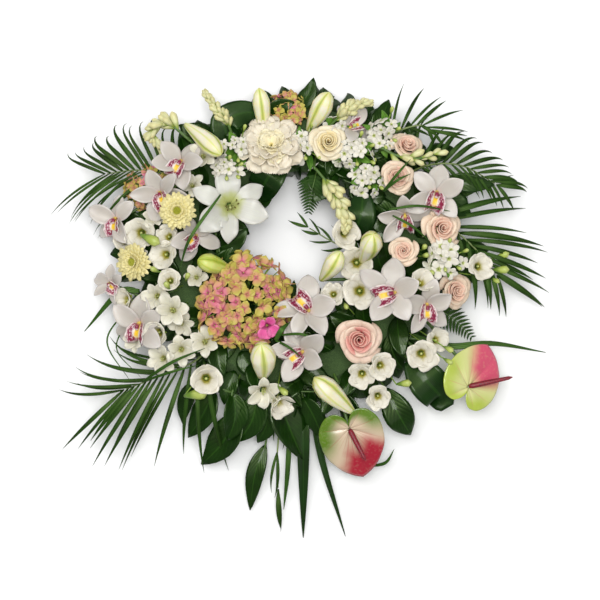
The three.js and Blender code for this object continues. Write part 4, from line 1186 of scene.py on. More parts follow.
def fern(points, longest, rng):
    """A fern tip: a slim rachis with toothed pinnae in pairs, shorter towards its end."""
    pairs = 12
    line = curve(points, 90)
    patches = [tubes("stem", line[::6], np.linspace(1.4, 0.5, 15), 6)]
    for side in (1, -1):
        t = 0.36 + 0.62 * np.arange(pairs) / (pairs - 1)
        base = line[(t * 89).astype(int)]
        along = unit(np.gradient(line, axis=0)[(t * 89).astype(int)] * [1, 1, 0])
        opening = math.radians(64) * side
        ahead = math.cos(opening) * along + math.sin(opening) * np.cross(UP, along)
        length = longest * (1.3 - 1.1 * t)
        middle = blades(base, ahead, UP, length, length * 0.22 + 1.5,
                        outline(0.25, 0.5, 0.06, 1, 1.0), lift=0.1,
                        curl=-0.4 + rng.uniform(-0.2, 0.2, pairs), sway=-0.3 * side, fold=0.15,
                        rows=21, cols=5)
        teeth = np.where(np.arange(21) % 2, 1.0, 0.62)[None, :, None, None]
        spine = middle[:, :, 2:3]
        middle = spine + (middle - spine) * teeth
        patches.append(shells("fern", middle, 0.5, rng.uniform(0, 1, pairs)))
    return patches


# ------------------------------------------------------------------------------------- places

# name: at, face, size, back, shift, finish, slot
ROSES = {
    "rose_pink": ((92, -138, 122), (0.05, -0.1), 35, 28, 0, "rose_pink", "pink_rose"),
    "rose_right": ((218, 30, 104), (0.22, 0.04), 31, 25, -4, "rose_peach", "rose"),
    "rose_upper_right": ((150, 107, 116), (0.12, 0.1), 26, 22, 0, "rose_peach", "rose"),
    "rose_top_right": ((166, 158, 92), (0.3, 0.5), 25, 22, 0, "rose_peach", "rose"),
    "rose_inner_right": ((157, -4, 118), (-0.1, 0.05), 22, 19, 0, "rose_peach", "rose"),
    "rose_far_right": ((241, -64, 84), (0.5, -0.05), 27, 22, 0, "rose_peach", "rose"),
    "rose_cream": ((46, 160, 104), (0.05, 0.12), 28, 24, 0, "rose_cream", "cream"),
}

# name: size, then each bloom's at, face, spin and scale
ORCHIDS = {
    "orchid_spray_centre": (53, [((4, -157, 108), (-0.12, -0.1), 35, 0.92),
                                 ((13, -92, 112), (0.05, 0.22), -45, 0.92)]),
    "orchid_spray_right": (54, [((140, -68, 128), (-0.05, 0.02), 15, 0.94),
                                ((192, -87, 112), (0.15, -0.15), 90, 0.8)]),
    "orchid_spray_upper_right": (47, [((206, 80, 106), (0.15, 0.05), 75, 1),
                                      ((160, 48, 100), (0.05, -0.55), 90, 0.9)]),
    "orchid_spray_upper_left": (50, [((-176, 127, 104), (-0.1, 0.2), 60, 0.84),
                                     ((-205, 80, 98), (-0.3, 0.1), 110, 0.84),
                                     ((-274, 42, 74), (-0.5, 0.1), 90, 0.82)]),
    "orchid_spray_left": (47, [((-238, -116, 78), (-0.4, -0.05), 80, 1),
                               ((-283, -54, 62), (-0.7, 0), 150, 0.68)]),
}

# name: at, face, length, shift, width as a share of the length
LILY_BUDS = {
    "lily_bud_top": ((-56, 206, 80), (-0.07, 0.88), 78, 0, 0.36),
    "lily_bud_top_right": ((31, 205, 86), (0.42, 0.74), 76, 0, 0.44),
    "lily_bud_top_left": ((-142, 162, 112), (0.66, -0.58), 84, -14, 0.38),
    "lily_bud_inner_right": ((104, 0, 104), (0.2, 0.5), 78, 0, 0.46),
    "lily_bud_inner": ((49, -27, 92), (0.46, 0.66), 64, 20, 0.5),
    "lily_bud_green": ((-125, -25, 106), (-0.78, 0.22), 62, 0, 0.5),
    "lily_bud_lower": ((-54, -170, 112), (0, 0.6), 88, 0, 0.46),
    "lily_bud_lower_right": ((54, -221, 94), (-0.68, 0.62), 88, 6, 0.42),
}

# name: recipe, at, face, size, spin, back, shift, slot
HEADS = {
    "lily_open": (lily, (-101, 66, 112), (0.1, 0.05), 54, 35, 33, 0, "lily"),
    "peony": (peony, (-40, 158, 96), (0, 0.45), 44, 90, 22, 0, "cream"),
    "chrysanthemum_upper": (chrysanthemum, (-180, 55, 124), (0, 0), 28, 90, 10, -26, "yellow"),
    "chrysanthemum_left": (chrysanthemum, (-247, -21, 98), (-0.45, -0.05), 28, 90, 10, 0, "yellow"),
    "lisianthus_lower_left": (lisianthus_cup, (-138, -197, 94), (0.05, -0.1), 24, 90, 27, 0,
                              "white"),
}

# name: recipe, size, back, then each bloom's at, face, spin and scale
SPRAYS = {
    "lisianthus_spray_lower": (lisianthus, 19, 22, [((96, -190, 98), (-0.05, -0.2), 90, 1),
                                                    ((125, -177, 102), (0.25, -0.1), 90, 1),
                                                    ((121, -224, 86), (0.1, -0.25), 90, 0.9)]),
    "lisianthus_spray_inner": (lisianthus, 18, 20, [((92, -64, 104), (-0.05, 0.05), 90, 1.35),
                                                    ((53, -69, 92), (-0.1, 0.1), 90, 0.9)]),
    "lisianthus_spray_right": (lisianthus, 22, 25, [((186, -160, 92), (0.05, -0.15), 90, 1),
                                                    ((210, -138, 84), (0.4, 0.1), 90, 0.8)]),
    "freesia_spray_left": (freesia, 24, 36, [((-189, -92, 112), (-0.1, 0.1), 90, 1),
                                             ((-140, -140, 100), (0, 0.1), 90, 0.9),
                                             ((-206, -168, 88), (-0.25, -0.15), 90, 0.9)]),
}

# More small white flowers between them, which have no solid of their own: at, face, size
MORE_LISIANTHUS = (
    ((72, 22, 92), (0, 0), 21), ((88, -22, 84), (0.1, 0.1), 24), ((184, -51, 120), (0.1, 0.2), 19),
    ((-201, -10, 96), (-0.1, 0.1), 20), ((-237, 22, 92), (-0.3, 0.1), 22),
    ((-193, -48, 98), (-0.1, -0.1), 18),
    ((274, -27, 80), (0.5, 0), 19),
)
MORE_FREESIAS = (
    ((-177, -153, 96), (-0.1, -0.1), 22), ((-52, -220, 84), (-0.1, -0.4), 24),
    ((-27, -235, 80), (0.2, -0.4), 21),
    ((-142, 139, 104), (0.1, 0.2), 20), ((-154, -43, 96), (0.1, 0), 18),
    ((-196, 18, 96), (-0.4, 0.2), 18), ((-175, -115, 92), (0.3, -0.2), 18),
    ((-250, -140, 74), (-0.5, -0.3), 18), ((-212, -128, 90), (-0.3, -0.2), 20),
    ((-214, -72, 92), (-0.2, -0.1), 21),
    ((-240, -14, 82), (-0.5, 0.1), 18), ((-262, 12, 74), (-0.6, 0.2), 17),
    ((-216, 48, 94), (-0.1, 0.3), 18), ((-160, 96, 98), (0.1, 0.2), 17),
    ((-262, -78, 70), (-0.6, 0), 18),
)
STAR_CLUSTERS = (  # at, spread, size of a flower
    ((-91, 148, 92), 26, 11), ((10, 150, 92), 26, 11), ((87, 145, 94), 28, 11),
    ((130, 172, 88), 26, 11),
    ((106, 103, 92), 22, 11), ((-108, 118, 94), 18, 10), ((60, 176, 82), 22, 10),
    ((219, -16, 100), 26, 14),
)
GREEN_BUDS = (  # at, way, length
    ((298, -15, 62), (0.8, 0.3, 0.2), 24), ((295, -32, 62), (0.9, 0, 0.3), 26),
    ((291, -44, 60), (0.8, -0.4, 0.2), 17),
    ((148, -205, 84), (0.9, 0.1, 0.3), 24), ((219, -148, 92), (0.6, -0.3, 0.5), 19),
    ((219, -166, 86), (0.7, -0.4, 0.4), 17), ((70, -82, 92), (0.2, -0.5, 0.8), 17),
    ((-172, -223, 78), (0.9, 0.15, 0.3), 38), ((-169, -49, 100), (0.3, 0.6, 0.6), 17),
    ((186, -3, 96), (0.3, 0.4, 0.8), 17), ((198, -33, 96), (0.2, -0.3, 0.8), 17),
    ((186, -12, 92), (0.5, 0.1, 0.8), 17),
    ((-30, -208, 92), (0.6, -0.5, 0.5), 22), ((-192, -62, 104), (-0.3, 0.5, 0.7), 19),
    ((-236, 20, 104), (0.85, -0.4, 0.3), 34), ((-208, -36, 104), (-0.6, 0.3, 0.6), 18),
)
SPIKES = {
    "tuberose_top_left": ([(-160, 160, 84), (-195, 187, 88), (-218, 176, 84), (-204, 146, 80)], 22),
    "tuberose_inner": ([(24, 122, 96), (48, 92, 104), (66, 58, 102), (71, 38, 98)], 24),
}
MORE_SPIKES = (
    ([(-98, 168, 76), (-108, 192, 84), (-124, 212, 86), (-138, 231, 82)], 17),
    ([(46, 182, 80), (64, 200, 88), (82, 212, 88), (104, 219, 82)], 19),
)

# name: line, width, up
STRAPS = {
    "aspidistra_top_left": ([(-98, 150, 66), (-110, 188, 76), (-78, 206, 72), (-36, 196, 62)], 46,
                            (0, 0, 1)),
    "aspidistra_fold_inner": ([(-20, 144, 78), (-44, 108, 88), (-58, 88, 66), (-66, 104, 48)], 50,
                              (-0.3, -0.3, 1)),
    "aspidistra_fold_right": ([(98, 86, 84), (94, 48, 92), (82, 22, 74), (80, 40, 56)], 46,
                              (0, -0.4, 1)),
    "aspidistra_lower_right": ([(168, -168, 70), (196, -202, 78), (216, -226, 60), (190, -222, 42)],
                               58, (0, 0, 1)),
    "strap_leaf_centre": ([(6, -214, 46), (8, -310, 44), (8, -444, 10)], 20, (0, 0, 1)),
    "strap_leaf_right": ([(18, -214, 40), (36, -320, 38), (73, -442, 10)], 11, (0, 0, 1)),
}
LONE_LEAVES = {
    "salal_leaf_hanging": ([(-50, -300, 26), (-66, -345, 26), (-74, -402, 10)], 28),
    "rose_leaf_lower_right": ([(132, -212, 58), (154, -254, 60), (172, -284, 38)], 46),
}

# name: each leaf's foot, tip and width
SPRIGS = {
    "salal_sprig_lower_left": ((-100, -218, 62, -108, -292, 48, 40),
                               (-128, -214, 50, -168, -288, 34, 40),
                               (-90, -246, 46, -148, -330, 26, 50),
                               (-156, -200, 54, -176, -268, 36, 26)),
    "salal_sprig_bottom": ((-34, -216, 60, 8, -322, 42, 54), (-48, -222, 52, -62, -296, 38, 40),
                           (-64, -214, 60, -92, -294, 46, 44), (-8, -214, 56, -26, -290, 42, 40),
                           (8, -226, 56, 38, -290, 44, 38), (66, -218, 50, 84, -300, 32, 34)),
    "salal_sprig_inner_left": ((-126, 34, 66, -74, 22, 58, 36), (-122, -12, 62, -72, -30, 54, 34),
                               (-132, 66, 68, -92, 62, 62, 30), (-112, -46, 60, -60, -62, 48, 34)),
    "salal_sprig_inner_lower": ((-16, -118, 62, -6, -48, 60, 24), (20, -116, 66, 34, -60, 60, 30),
                                (-46, -106, 60, -36, -60, 52, 28), (64, -98, 62, 62, -52, 58, 28)),
    "salal_sprig_upper_right": ((216, 84, 66, 262, 52, 62, 42), (222, 104, 70, 298, 96, 66, 30),
                                (190, 134, 62, 240, 150, 58, 32)),
    "salal_sprig_right": ((230, -14, 60, 292, 0, 48, 40), (232, -36, 58, 286, -46, 46, 38)),
    "salal_sprig_left": ((-220, 30, 60, -282, 68, 54, 38), (-226, 4, 58, -286, -8, 44, 38),
                         (-202, 78, 60, -262, 98, 58, 34), (-215, -60, 56, -274, -96, 44, 36),
                         (-215, -28, 56, -270, -50, 46, 34)),
}
FERNS = {
    "fern_inner": ([(32, 140, 26), (27, 112, 68), (20, 82, 72), (16, 54, 62)], 34),
    "fern_right": ([(172, -72, 26), (206, -88, 60), (240, -110, 58), (266, -136, 42)], 36),
}

# name: rachis, then the leaflets on its left and on its right, as frond() takes them
FRONDS = {
    "palm_frond_upper_left": ([(-138, 78, 26), (-178, 106, 54), (-236, 118, 76), (-296, 112, 72)],
                              (15, 150, 3.8, 44, 0.6, 1.6), (15, 96, 6.0, 66, 2.4, 8)),
    "palm_frond_lower_left": ([(-112, -112, 26), (-150, -166, 64), (-212, -194, 70),
                               (-268, -216, 54)],
                              (14, 186, 6.0, 50, 0.12, 2), (11, 146, 5.0, 30, 0.8, 2)),
    "palm_frond_upper_right": ([(100, 120, 26), (136, 168, 66), (182, 186, 74), (206, 176, 68)],
                               (9, 84, 4.6, 46, -0.3, 2), (6, 44, 5, 46, 0.4, 2)),
    "palm_frond_right": ([(140, 86, 26), (184, 122, 66), (244, 126, 74), (306, 95, 58)],
                         (13, 82, 6.4, 54, -1.2, 4), (12, 74, 4.6, 46, 0.5, 1.5)),
    "palm_frond_lower_right": ([(158, 58, 26), (206, 50, 60), (262, 6, 66), (306, -44, 52)],
                               (12, 138, 7.6, 46, -0.25, 1.5), (9, 116, 7.2, 46, 0.3, 2)),
    "palm_frond_inner": ([(140, -34, 26), (104, -12, 62), (56, 8, 72), (12, 34, 64)],
                         (6, 44, 4, 50, -0.8, 1.5), (6, 44, 3.6, 50, -0.7, 1.5)),
    "palm_frond_bottom": ([(-14, -168, 26), (-24, -238, 50), (-32, -318, 40), (-30, -372, 22)],
                          (3, 90, 5, 10, -0.4, 2), (3, 84, 5, 10, -0.5, 2)),
}

# Grass blades laid over the flowers: line, width
GRASS = (
    ([(-115, 79, 128), (-160, 14, 136), (-177, -33, 112)], 5),
    ([(135, 57, 122), (180, 62, 128), (231, 54, 112)], 4),
    ([(141, 48, 120), (170, 32, 124), (198, 9, 112)], 4),
    ([(127, 84, 118), (150, 112, 134), (168, 132, 122)], 4),
    ([(127, 84, 118), (148, 100, 134), (168, 110, 128)], 4),
    ([(-234, -201, 80), (-190, -172, 100), (-139, -150, 112)], 5),
    ([(-234, -201, 80), (-190, -186, 96), (-147, -175, 106)], 4),
    ([(-34, -138, 122), (-24, -122, 128), (-12, -111, 118)], 8),
    ([(-27, -130, 124), (10, -130, 136), (49, -153, 122)], 4),
    ([(-34, -138, 122), (-14, -148, 132), (6, -164, 124)], 4),
    ([(165, -128, 46), (226, -148, 56), (296, -144, 56), (378, -158, 40)], 10),
    ([(-240, -64, 62), (-273, -68, 60), (-327, -126, 30)], 10),
    ([(-262, -93, 60), (-290, -142, 58), (-254, -202, 62)], 2.5),
    ([(-248, -96, 60), (-276, -150, 56), (-238, -196, 62)], 2),
    ([(-12, -260, 44), (-16, -340, 38), (-22, -400, 14)], 8),
    ([(115, -333, 20), (135, -326, 32), (147, -306, 36)], 5),
)


def spread_stems(blooms, back, radius=2.6):
    """The stems of a spray: the first bloom's own, and one from its middle to each other bloom."""
    lines = [curve(stem_line(at, face, back), 13) for at, face, *_ in blooms]
    patches = [tubes("stem", lines[0], radius, 7)]
    fork = lines[0][6]
    for line in lines[1:]:
        end = line[-1]
        middle = (fork + end) / 2
        middle[2] = max(fork[2], end[2]) - 6
        patches.append(tubes("stem", curve([fork, middle, end], 11), radius * 0.8, 7))
    return patches


def own_stem(at, face, back, shift=0, radius=2.6):
    """One flower's stem."""
    return [tubes("stem", curve(stem_line(at, face, back, shift), 11), radius, 7)]


# ------------------------------------------------------------------------------------- settings


def colour_setting(label, what, red, green, blue):
    """A colour that the panel shows, given from 0 to 255 each."""
    return FloatVectorProperty(name=label, description=what, subtype="COLOR", size=4, min=0, max=1,
                               default=srgb(red, green, blue))


class WreathColours(bpy.types.PropertyGroup):
    """The colours of the flowers and leaves."""

    orchid: colour_setting("Orchid", "Tepals of the orchids", 180, 174, 164)
    orchid_blotch: colour_setting("Orchid blotches", "Dark band inside an orchid's lip",
                                  128, 28, 62)
    orchid_crest: colour_setting("Orchid crest", "Crest down an orchid's lip", 226, 184, 34)
    lily: colour_setting("Lily", "Tepals of the open lily", 188, 187, 178)
    lily_bud: colour_setting("Lily bud", "Closed lily buds", 224, 219, 196)
    bud_rib: colour_setting("Bud ribs", "Ribs of the lily buds", 196, 202, 84)
    rose_pink: colour_setting("Pink rose heart", "Inner petals of the pink rose", 216, 108, 110)
    rose_pink_outer: colour_setting("Pink rose rim", "Outer petals of the pink rose", 214, 176, 160)
    rose_peach: colour_setting("Peach rose heart", "Inner petals of the peach roses", 228, 178, 160)
    rose_peach_outer: colour_setting("Peach rose rim", "Outer petals of the peach roses",
                                     220, 188, 164)
    cream: colour_setting("Cream rose", "Petals of the cream rose", 228, 206, 150)
    white: colour_setting("White", "Lisianthus and small star flowers", 210, 204, 188)
    freesia: colour_setting("Freesia", "Freesia flowers", 206, 201, 180)
    peony: colour_setting("Peony", "Outer petals of the peony", 221, 212, 190)
    peony_heart: colour_setting("Peony heart", "Inner petals of the peony", 236, 226, 190)
    chrysanthemum: colour_setting("Chrysanthemum", "Rays of the chrysanthemums", 224, 210, 140)
    magenta: colour_setting("Magenta", "The deep pink flower", 206, 70, 138)
    hydrangea_green: colour_setting("Hydrangea green", "Green florets", 180, 168, 74)
    hydrangea: colour_setting("Hydrangea", "Most florets", 190, 140, 98)
    hydrangea_pink: colour_setting("Hydrangea pink", "Pink florets", 202, 120, 136)
    tuberose: colour_setting("Tuberose", "Tuberose buds", 206, 206, 158)
    leaf: colour_setting("Broad leaf", "Salal leaves, where they are dark", 6, 25, 3)
    leaf_light: colour_setting("Broad leaf light", "Salal leaves, where they are light", 16, 45, 5)
    aspidistra: colour_setting("Aspidistra", "Strap leaves", 8, 28, 6)
    palm: colour_setting("Palm", "Palm leaflets", 15, 34, 8)
    fern: colour_setting("Fern", "Fern pinnae", 8, 25, 5)


class WreathShape(bpy.types.PropertyGroup):
    """Counts and sizes that change how full the wreath looks."""

    seed: IntProperty(name="Seed", description="Start of every random choice", default=7, min=0)
    rose_petals: IntProperty(name="Rose petals", description="Petals in each rose", default=24,
                             min=8, max=60)
    florets: IntProperty(name="Florets", description="Florets of the hydrangea", default=96, min=20,
                         max=300)
    carpet_leaves: IntProperty(name="Carpet leaves", description="Leaves that hide the foam",
                               default=120, min=0, max=400)
    leaf_length: FloatProperty(name="Carpet leaf length",
                               description="Length of a leaf that hides the foam",
                               default=0.056, min=0.01, max=0.2, subtype="DISTANCE", unit="LENGTH")
    camera_height: FloatProperty(name="Camera height",
                                 description="Height of the camera over the wreath",
                                 default=3.5, min=0.5, max=20, subtype="DISTANCE", unit="LENGTH")


def shape_settings():
    return bpy.context.scene.wreath_shape


def dice(name):
    """A random generator for one piece, the same on every run."""
    return np.random.default_rng([shape_settings().seed, *name.encode()])


# ------------------------------------------------------------------------------------- operators


class WREATH_OT_roses(bpy.types.Operator):
    """Seven roses, each a close heart of upright petals in opening outer ones"""

    bl_idname = "wreath.roses"
    bl_label = "Roses"

    def execute(self, context):
        for name, (at, face, size, back, shift, finish, slot) in ROSES.items():
            bloom = rose(size, dice(name), finish, shape_settings().rose_petals)
            make_piece(name + "_bloom", facing(bloom, at, face) + own_stem(at, face, back, shift),
                       [name])
        return {"FINISHED"}


class WREATH_OT_orchids(bpy.types.Operator):
    """Sprays of orchids, with boat-shaped lips"""

    bl_idname = "wreath.orchids"
    bl_label = "Orchids"

    def execute(self, context):
        for name, (size, blooms) in ORCHIDS.items():
            rng = dice(name)
            patches = spread_stems(blooms, 2)
            for at, face, spin, scale in blooms:
                patches += facing(orchid(size * scale, rng), at, face, spin)
            make_piece(name + "_blooms", patches, [name])
        rng = dice("orchid_hidden")
        hidden = facing(orchid(34, rng), (80, 182, 76), (0.3, 0.3), 200)
        hidden += facing(orchid(38, rng), (-156, 18, 90), (0.3, -0.2), 40)
        make_piece("orchid_between", hidden)
        return {"FINISHED"}


class WREATH_OT_lilies(bpy.types.Operator):
    """Closed lily buds with yellow-green ribs"""

    bl_idname = "wreath.lily_buds"
    bl_label = "Lily buds"

    def execute(self, context):
        for name, (at, face, length, shift, full) in LILY_BUDS.items():
            finish = "young_bud" if name == "lily_bud_green" else "lily_bud"
            bud = facing(lily_bud(length, dice(name), full, finish), at, face,
                         dice(name).uniform(0, 120))
            stem = own_stem(at, face, length / 2 - 1, shift)
            make_piece(name + "_closed", bud + stem, [name])
        return {"FINISHED"}


class WREATH_OT_heads(bpy.types.Operator):
    """The single flowers: open lily, peony, chrysanthemums and a lisianthus"""

    bl_idname = "wreath.heads"
    bl_label = "Single flowers"

    def execute(self, context):
        for name, (recipe, at, face, size, spin, back, shift, slot) in HEADS.items():
            bloom = facing(recipe(size, dice(name)), at, face, spin)
            make_piece(name + "_bloom", bloom + own_stem(at, face, back, shift), [name])
        return {"FINISHED"}


class WREATH_OT_hydrangeas(bpy.types.Operator):
    """The large hydrangea, two small ones and the deep pink petals beside it"""

    bl_idname = "wreath.hydrangeas"
    bl_label = "Hydrangeas"

    def execute(self, context):
        at, face = (-79, -80, 92), (0.05, 0.08)
        head = facing(mophead(68, dice("hydrangea_head"), shape_settings().florets), at, face)
        make_piece("hydrangea_head_florets", head + own_stem(at, face, 30),
                   ["hydrangea_head"])
        left = facing(mophead(34, dice("hydrangea_left"), 44, 10), (-226, 92, 70), (-0.2, 0.1))
        top = facing(mophead(27, dice("hydrangea_top"), 30, 10), (-15, 211, 62), (0, 0.3))
        make_piece("hydrangea_small_florets", left + top)
        rng = dice("magenta")
        count = 4
        ahead = level([250, 322, 60, 165])
        petals = blades(ahead * 2, ahead, UP, [20, 18, 15, 10], [22, 22, 16, 16],
                        outline(0.6, 0.3, 0.1, 0.9, 0.6), lift=rng.uniform(0.1, 0.6, count),
                        curl=-0.6, cup=0.2, ruffle=0.05, phase=rng.uniform(0, 6, count))
        deep = [shells("magenta_petal", petals, 0.6, rng.uniform(0, 1, count))]
        make_piece("magenta_flower", facing(deep, (-46, -116, 126), (0.1, -0.3)))
        return {"FINISHED"}


class WREATH_OT_anthuriums(bpy.types.Operator):
    """Two glossy spathes with their spadices"""

    bl_idname = "wreath.anthuriums"
    bl_label = "Anthuriums"

    def execute(self, context):
        right, lower = "anthurium_right", "anthurium_lower"
        for name, at, face, size, spin, shift, finish, lean, long, tip in (
            (right, (266, -192, 71), (0.42, -0.1), 88, 242, 30, "spathe_right", -138, 1.4, 1.62),
            (lower, (83, -291, 70), (0.02, -0.3), 90, 105, 0, "spathe_lower", -75, 1.0, 1.86),
        ):
            bloom = facing(anthurium(size, finish, lean, long, tip), at, face, spin)
            make_piece(name + "_bloom", bloom + own_stem(at, face, 1, shift), [name])
        return {"FINISHED"}


class WREATH_OT_sprays(bpy.types.Operator):
    """Sprays of lisianthus and freesia"""

    bl_idname = "wreath.sprays"
    bl_label = "Lisianthus and freesia sprays"

    def execute(self, context):
        for name, (recipe, size, back, blooms) in SPRAYS.items():
            rng = dice(name)
            patches = spread_stems(blooms, back, 2.2)
            for at, face, spin, scale in blooms:
                patches += facing(recipe(size * scale, rng), at, face, spin)
            make_piece(name + "_blooms", patches, [name])
        return {"FINISHED"}


class WREATH_OT_small_flowers(bpy.types.Operator):
    """Small white flowers, star clusters and green buds between the larger ones"""

    bl_idname = "wreath.small_flowers"
    bl_label = "Small flowers"

    def execute(self, context):
        for name, recipe, rows, back in (("lisianthus_between", lisianthus, MORE_LISIANTHUS, 1.0),
                                         ("freesia_between", freesia, MORE_FREESIAS, 1.7)):
            rng = dice(name)
            patches = []
            for k, (at, face, size) in enumerate(rows):
                face = np.clip(face + rng.uniform(-0.3, 0.3, 2), -0.66, 0.66)
                bloom = (lisianthus_cup if k % 3 == 2 else recipe)(size, rng)
                patches += facing(bloom, at, face, rng.uniform(0, 360))
                patches += own_stem(at, face, back * size, 0, 1.6)
            make_piece(name, patches)
        rng = dice("stars")
        patches = []
        in_cluster = 14  # stars and buds
        for at, spread, size in STAR_CLUSTERS:
            for k in range(in_cluster):
                r = spread * 1.1 * math.sqrt((k + 0.5) / in_cluster) * rng.uniform(0.7, 1.25)
                out = spoke(k * TURN) * r
                spot = np.array(at) + out + UP * (8 - 12 * (r / spread) ** 2 + rng.uniform(-3, 3))
                lean = out / spread * 0.6
                if k % 3 == 2:
                    patches.append(spindle(spot - UP * 4, lean + UP * 0.5, 15, 0.42))
                else:
                    star = little_star(size * rng.uniform(0.75, 1.2), rng)
                    face = lean[:2] * rng.uniform(0.6, 1.4) + rng.uniform(-0.5, 0.5, 2)
                    patches += facing(star, spot, face, rng.uniform(0, 360))
                root = np.array(at) - UP * 26
                line = curve([root, (root + spot) / 2 + out * 0.1, spot - UP * 1], 6)
                patches.append(tubes("sepal", line, 0.9, 5))
            patches += own_stem(at, (0, 0), 26, 0, 1.8)
            out = level(rng.uniform(0, 60) + np.arange(6) * 60)
            foot = np.array(at) - UP * 14 + out * 4
            tip = np.array(at) + out * (spread * rng.uniform(0.9, 1.4, (6, 1)))
            tip = tip + UP * rng.uniform(-10, 2, (6, 1))
            patches.append(spray_of_leaves(foot, tip, rng.uniform(11, 15, 6), rng, "young_leaf"))
        make_piece("star_clusters", patches)
        patches = []
        for at, way, length in GREEN_BUDS:
            patches.append(spindle(at, way, length, 0.5))
            foot = np.array([*foot_of(at[0], at[1]), FOAM_TOP - 8])
            line = curve([foot, (foot + at) / 2 + [0, 0, 6], at], 9)
            patches.append(tubes("sepal", line, 1.0, 5))
        line = [(126, 150, 96), (150, 138, 100), (178, 134, 100), (208, 142, 92)]
        patches += spike(line, 24, rng, 11)
        make_piece("loose_buds", patches)
        return {"FINISHED"}


class WREATH_OT_spikes(bpy.types.Operator):
    """Tuberose spikes in bud"""

    bl_idname = "wreath.spikes"
    bl_label = "Tuberose spikes"

    def execute(self, context):
        for name, (points, bud_length) in SPIKES.items():
            make_piece(name + "_buds", spike(points, bud_length, dice(name)), [name])
        rng = dice("more_spikes")
        patches = []
        for points, bud_length in MORE_SPIKES:
            patches += spike(points, bud_length, rng)
        make_piece("tuberose_between", patches)
        return {"FINISHED"}


class WREATH_OT_straps(bpy.types.Operator):
    """Aspidistra leaves folded over the ring, and two long straps below it"""

    bl_idname = "wreath.straps"
    bl_label = "Strap leaves"

    def execute(self, context):
        for name, (points, width, up) in STRAPS.items():
            shape = outline(0.35, 0.3, 0.06, 0.8, 0.9)
            blade = leaf_on_line("aspidistra", points, width, shape, 25, up, cup=0.1, fold=0.08,
                                 ruffle=0.01)
            make_piece(name + "_blade", [blade, leaf_stalk(points[0], points[1])], [name])
        return {"FINISHED"}


class WREATH_OT_leaves(bpy.types.Operator):
    """Sprigs of broad leaves, and lone leaves"""

    bl_idname = "wreath.leaves"
    bl_label = "Broad leaves"

    def execute(self, context):
        for name, rows in SPRIGS.items():
            rng = dice(name)
            rows = np.array(rows, float)
            foot, tip = rows[:, :3], rows[:, 3:6]
            patches = [spray_of_leaves(foot, tip, rows[:, 6], rng),
                       leaf_stalk(foot[0], tip[0], 1.9)]
            for one in foot[1:]:
                middle = (foot[0] + one) / 2 + [0, 0, 3]
                patches.append(tubes("stem", curve([foot[0], middle, one], 7), 1.4, 6))
            make_piece(name + "_leaves", patches, [name])
        for name, (points, width) in LONE_LEAVES.items():
            shape = outline(0.45, 0.12, 0.03, 0.8, 0.9)
            blade = leaf_on_line("broad_leaf", points, width, shape, 15, fold=0.14, ruffle=0.02)
            make_piece(name + "_blade", [blade, leaf_stalk(points[0], points[1])], [name])
        return {"FINISHED"}


class WREATH_OT_carpet(bpy.types.Operator):
    """Leaves all over the ring that hide the foam from above, and a skirt that hides its sides"""

    bl_idname = "wreath.carpet"
    bl_label = "Leaf carpet"

    def execute(self, context):
        shape = shape_settings()
        rng = dice("carpet")
        length = shape.leaf_length / MM
        count = shape.carpet_leaves
        out = spoke(np.arange(count) * TURN)
        across = np.cross(UP, out)
        r = RING_RADIUS + CARPET_REACH * rng.uniform(-1, 1, count)
        foot = out * r[:, None] + UP * rng.uniform(56, 62, count)[:, None]
        push = np.sign(r - RING_RADIUS) * rng.uniform(0.2, 1, count)
        way = unit(out * push[:, None] + across * rng.uniform(-1, 1, (count, 1)))
        tip = foot + way * (length * rng.uniform(0.8, 1.15, count))[:, None]
        tip = tip + UP * rng.uniform(-6, 16, count)[:, None]
        top = spray_of_leaves(foot, tip, length * rng.uniform(0.5, 0.68, count), rng)
        make_piece("leaf_carpet", [top])
        skirt = ring_of_leaves(96, 0.03, (212, 0, 36, 12), (238, 12, 12, 14), 22, (26, 34), rng)
        lining = ring_of_leaves(44, 0.05, (124, 0, 44, 8), (112, -5, 10, 12), 10, (20, 27),
                                rng, 2.0)
        make_piece("leaf_skirt", [skirt, lining])
        return {"FINISHED"}


class WREATH_OT_ferns(bpy.types.Operator):
    """Fern tips"""

    bl_idname = "wreath.ferns"
    bl_label = "Ferns"

    def execute(self, context):
        for name, (points, longest) in FERNS.items():
            make_piece(name + "_pinnae", fern(points, longest, dice(name)), [name])
        return {"FINISHED"}


class WREATH_OT_fronds(bpy.types.Operator):
    """Palm fronds that reach out from under the flowers"""

    bl_idname = "wreath.fronds"
    bl_label = "Palm fronds"

    def execute(self, context):
        for name, (points, left, right) in FRONDS.items():
            patches = frond(points, left, right, dice(name))
            make_piece(name + "_leaflets", patches, [name])
        return {"FINISHED"}


class WREATH_OT_grass(bpy.types.Operator):
    """Thin blades of grass laid over the flowers"""

    bl_idname = "wreath.grass"
    bl_label = "Grass blades"

    def execute(self, context):
        shape = outline(0.35, 0.5, 0.1, 0.8, 1.0)
        patches = [
            leaf_on_line("grass", line, width, shape, 21, cols=5, fold=0.25)
            for line, width in GRASS
        ]
        make_piece("grass_blades", patches)
        return {"FINISHED"}


class WREATH_OT_ring(bpy.types.Operator):
    """Finishes for the foam ring and the plastic tray, whose own shapes stay"""

    bl_idname = "wreath.ring"
    bl_label = "Foam and tray"

    def execute(self, context):
        for name, finish in (("foam_ring", "foam"), ("base_tray", "tray")):
            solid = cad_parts[name]
            solid.data.materials.clear()
            solid.data.materials.append(made_finish(finish))
        return {"FINISHED"}


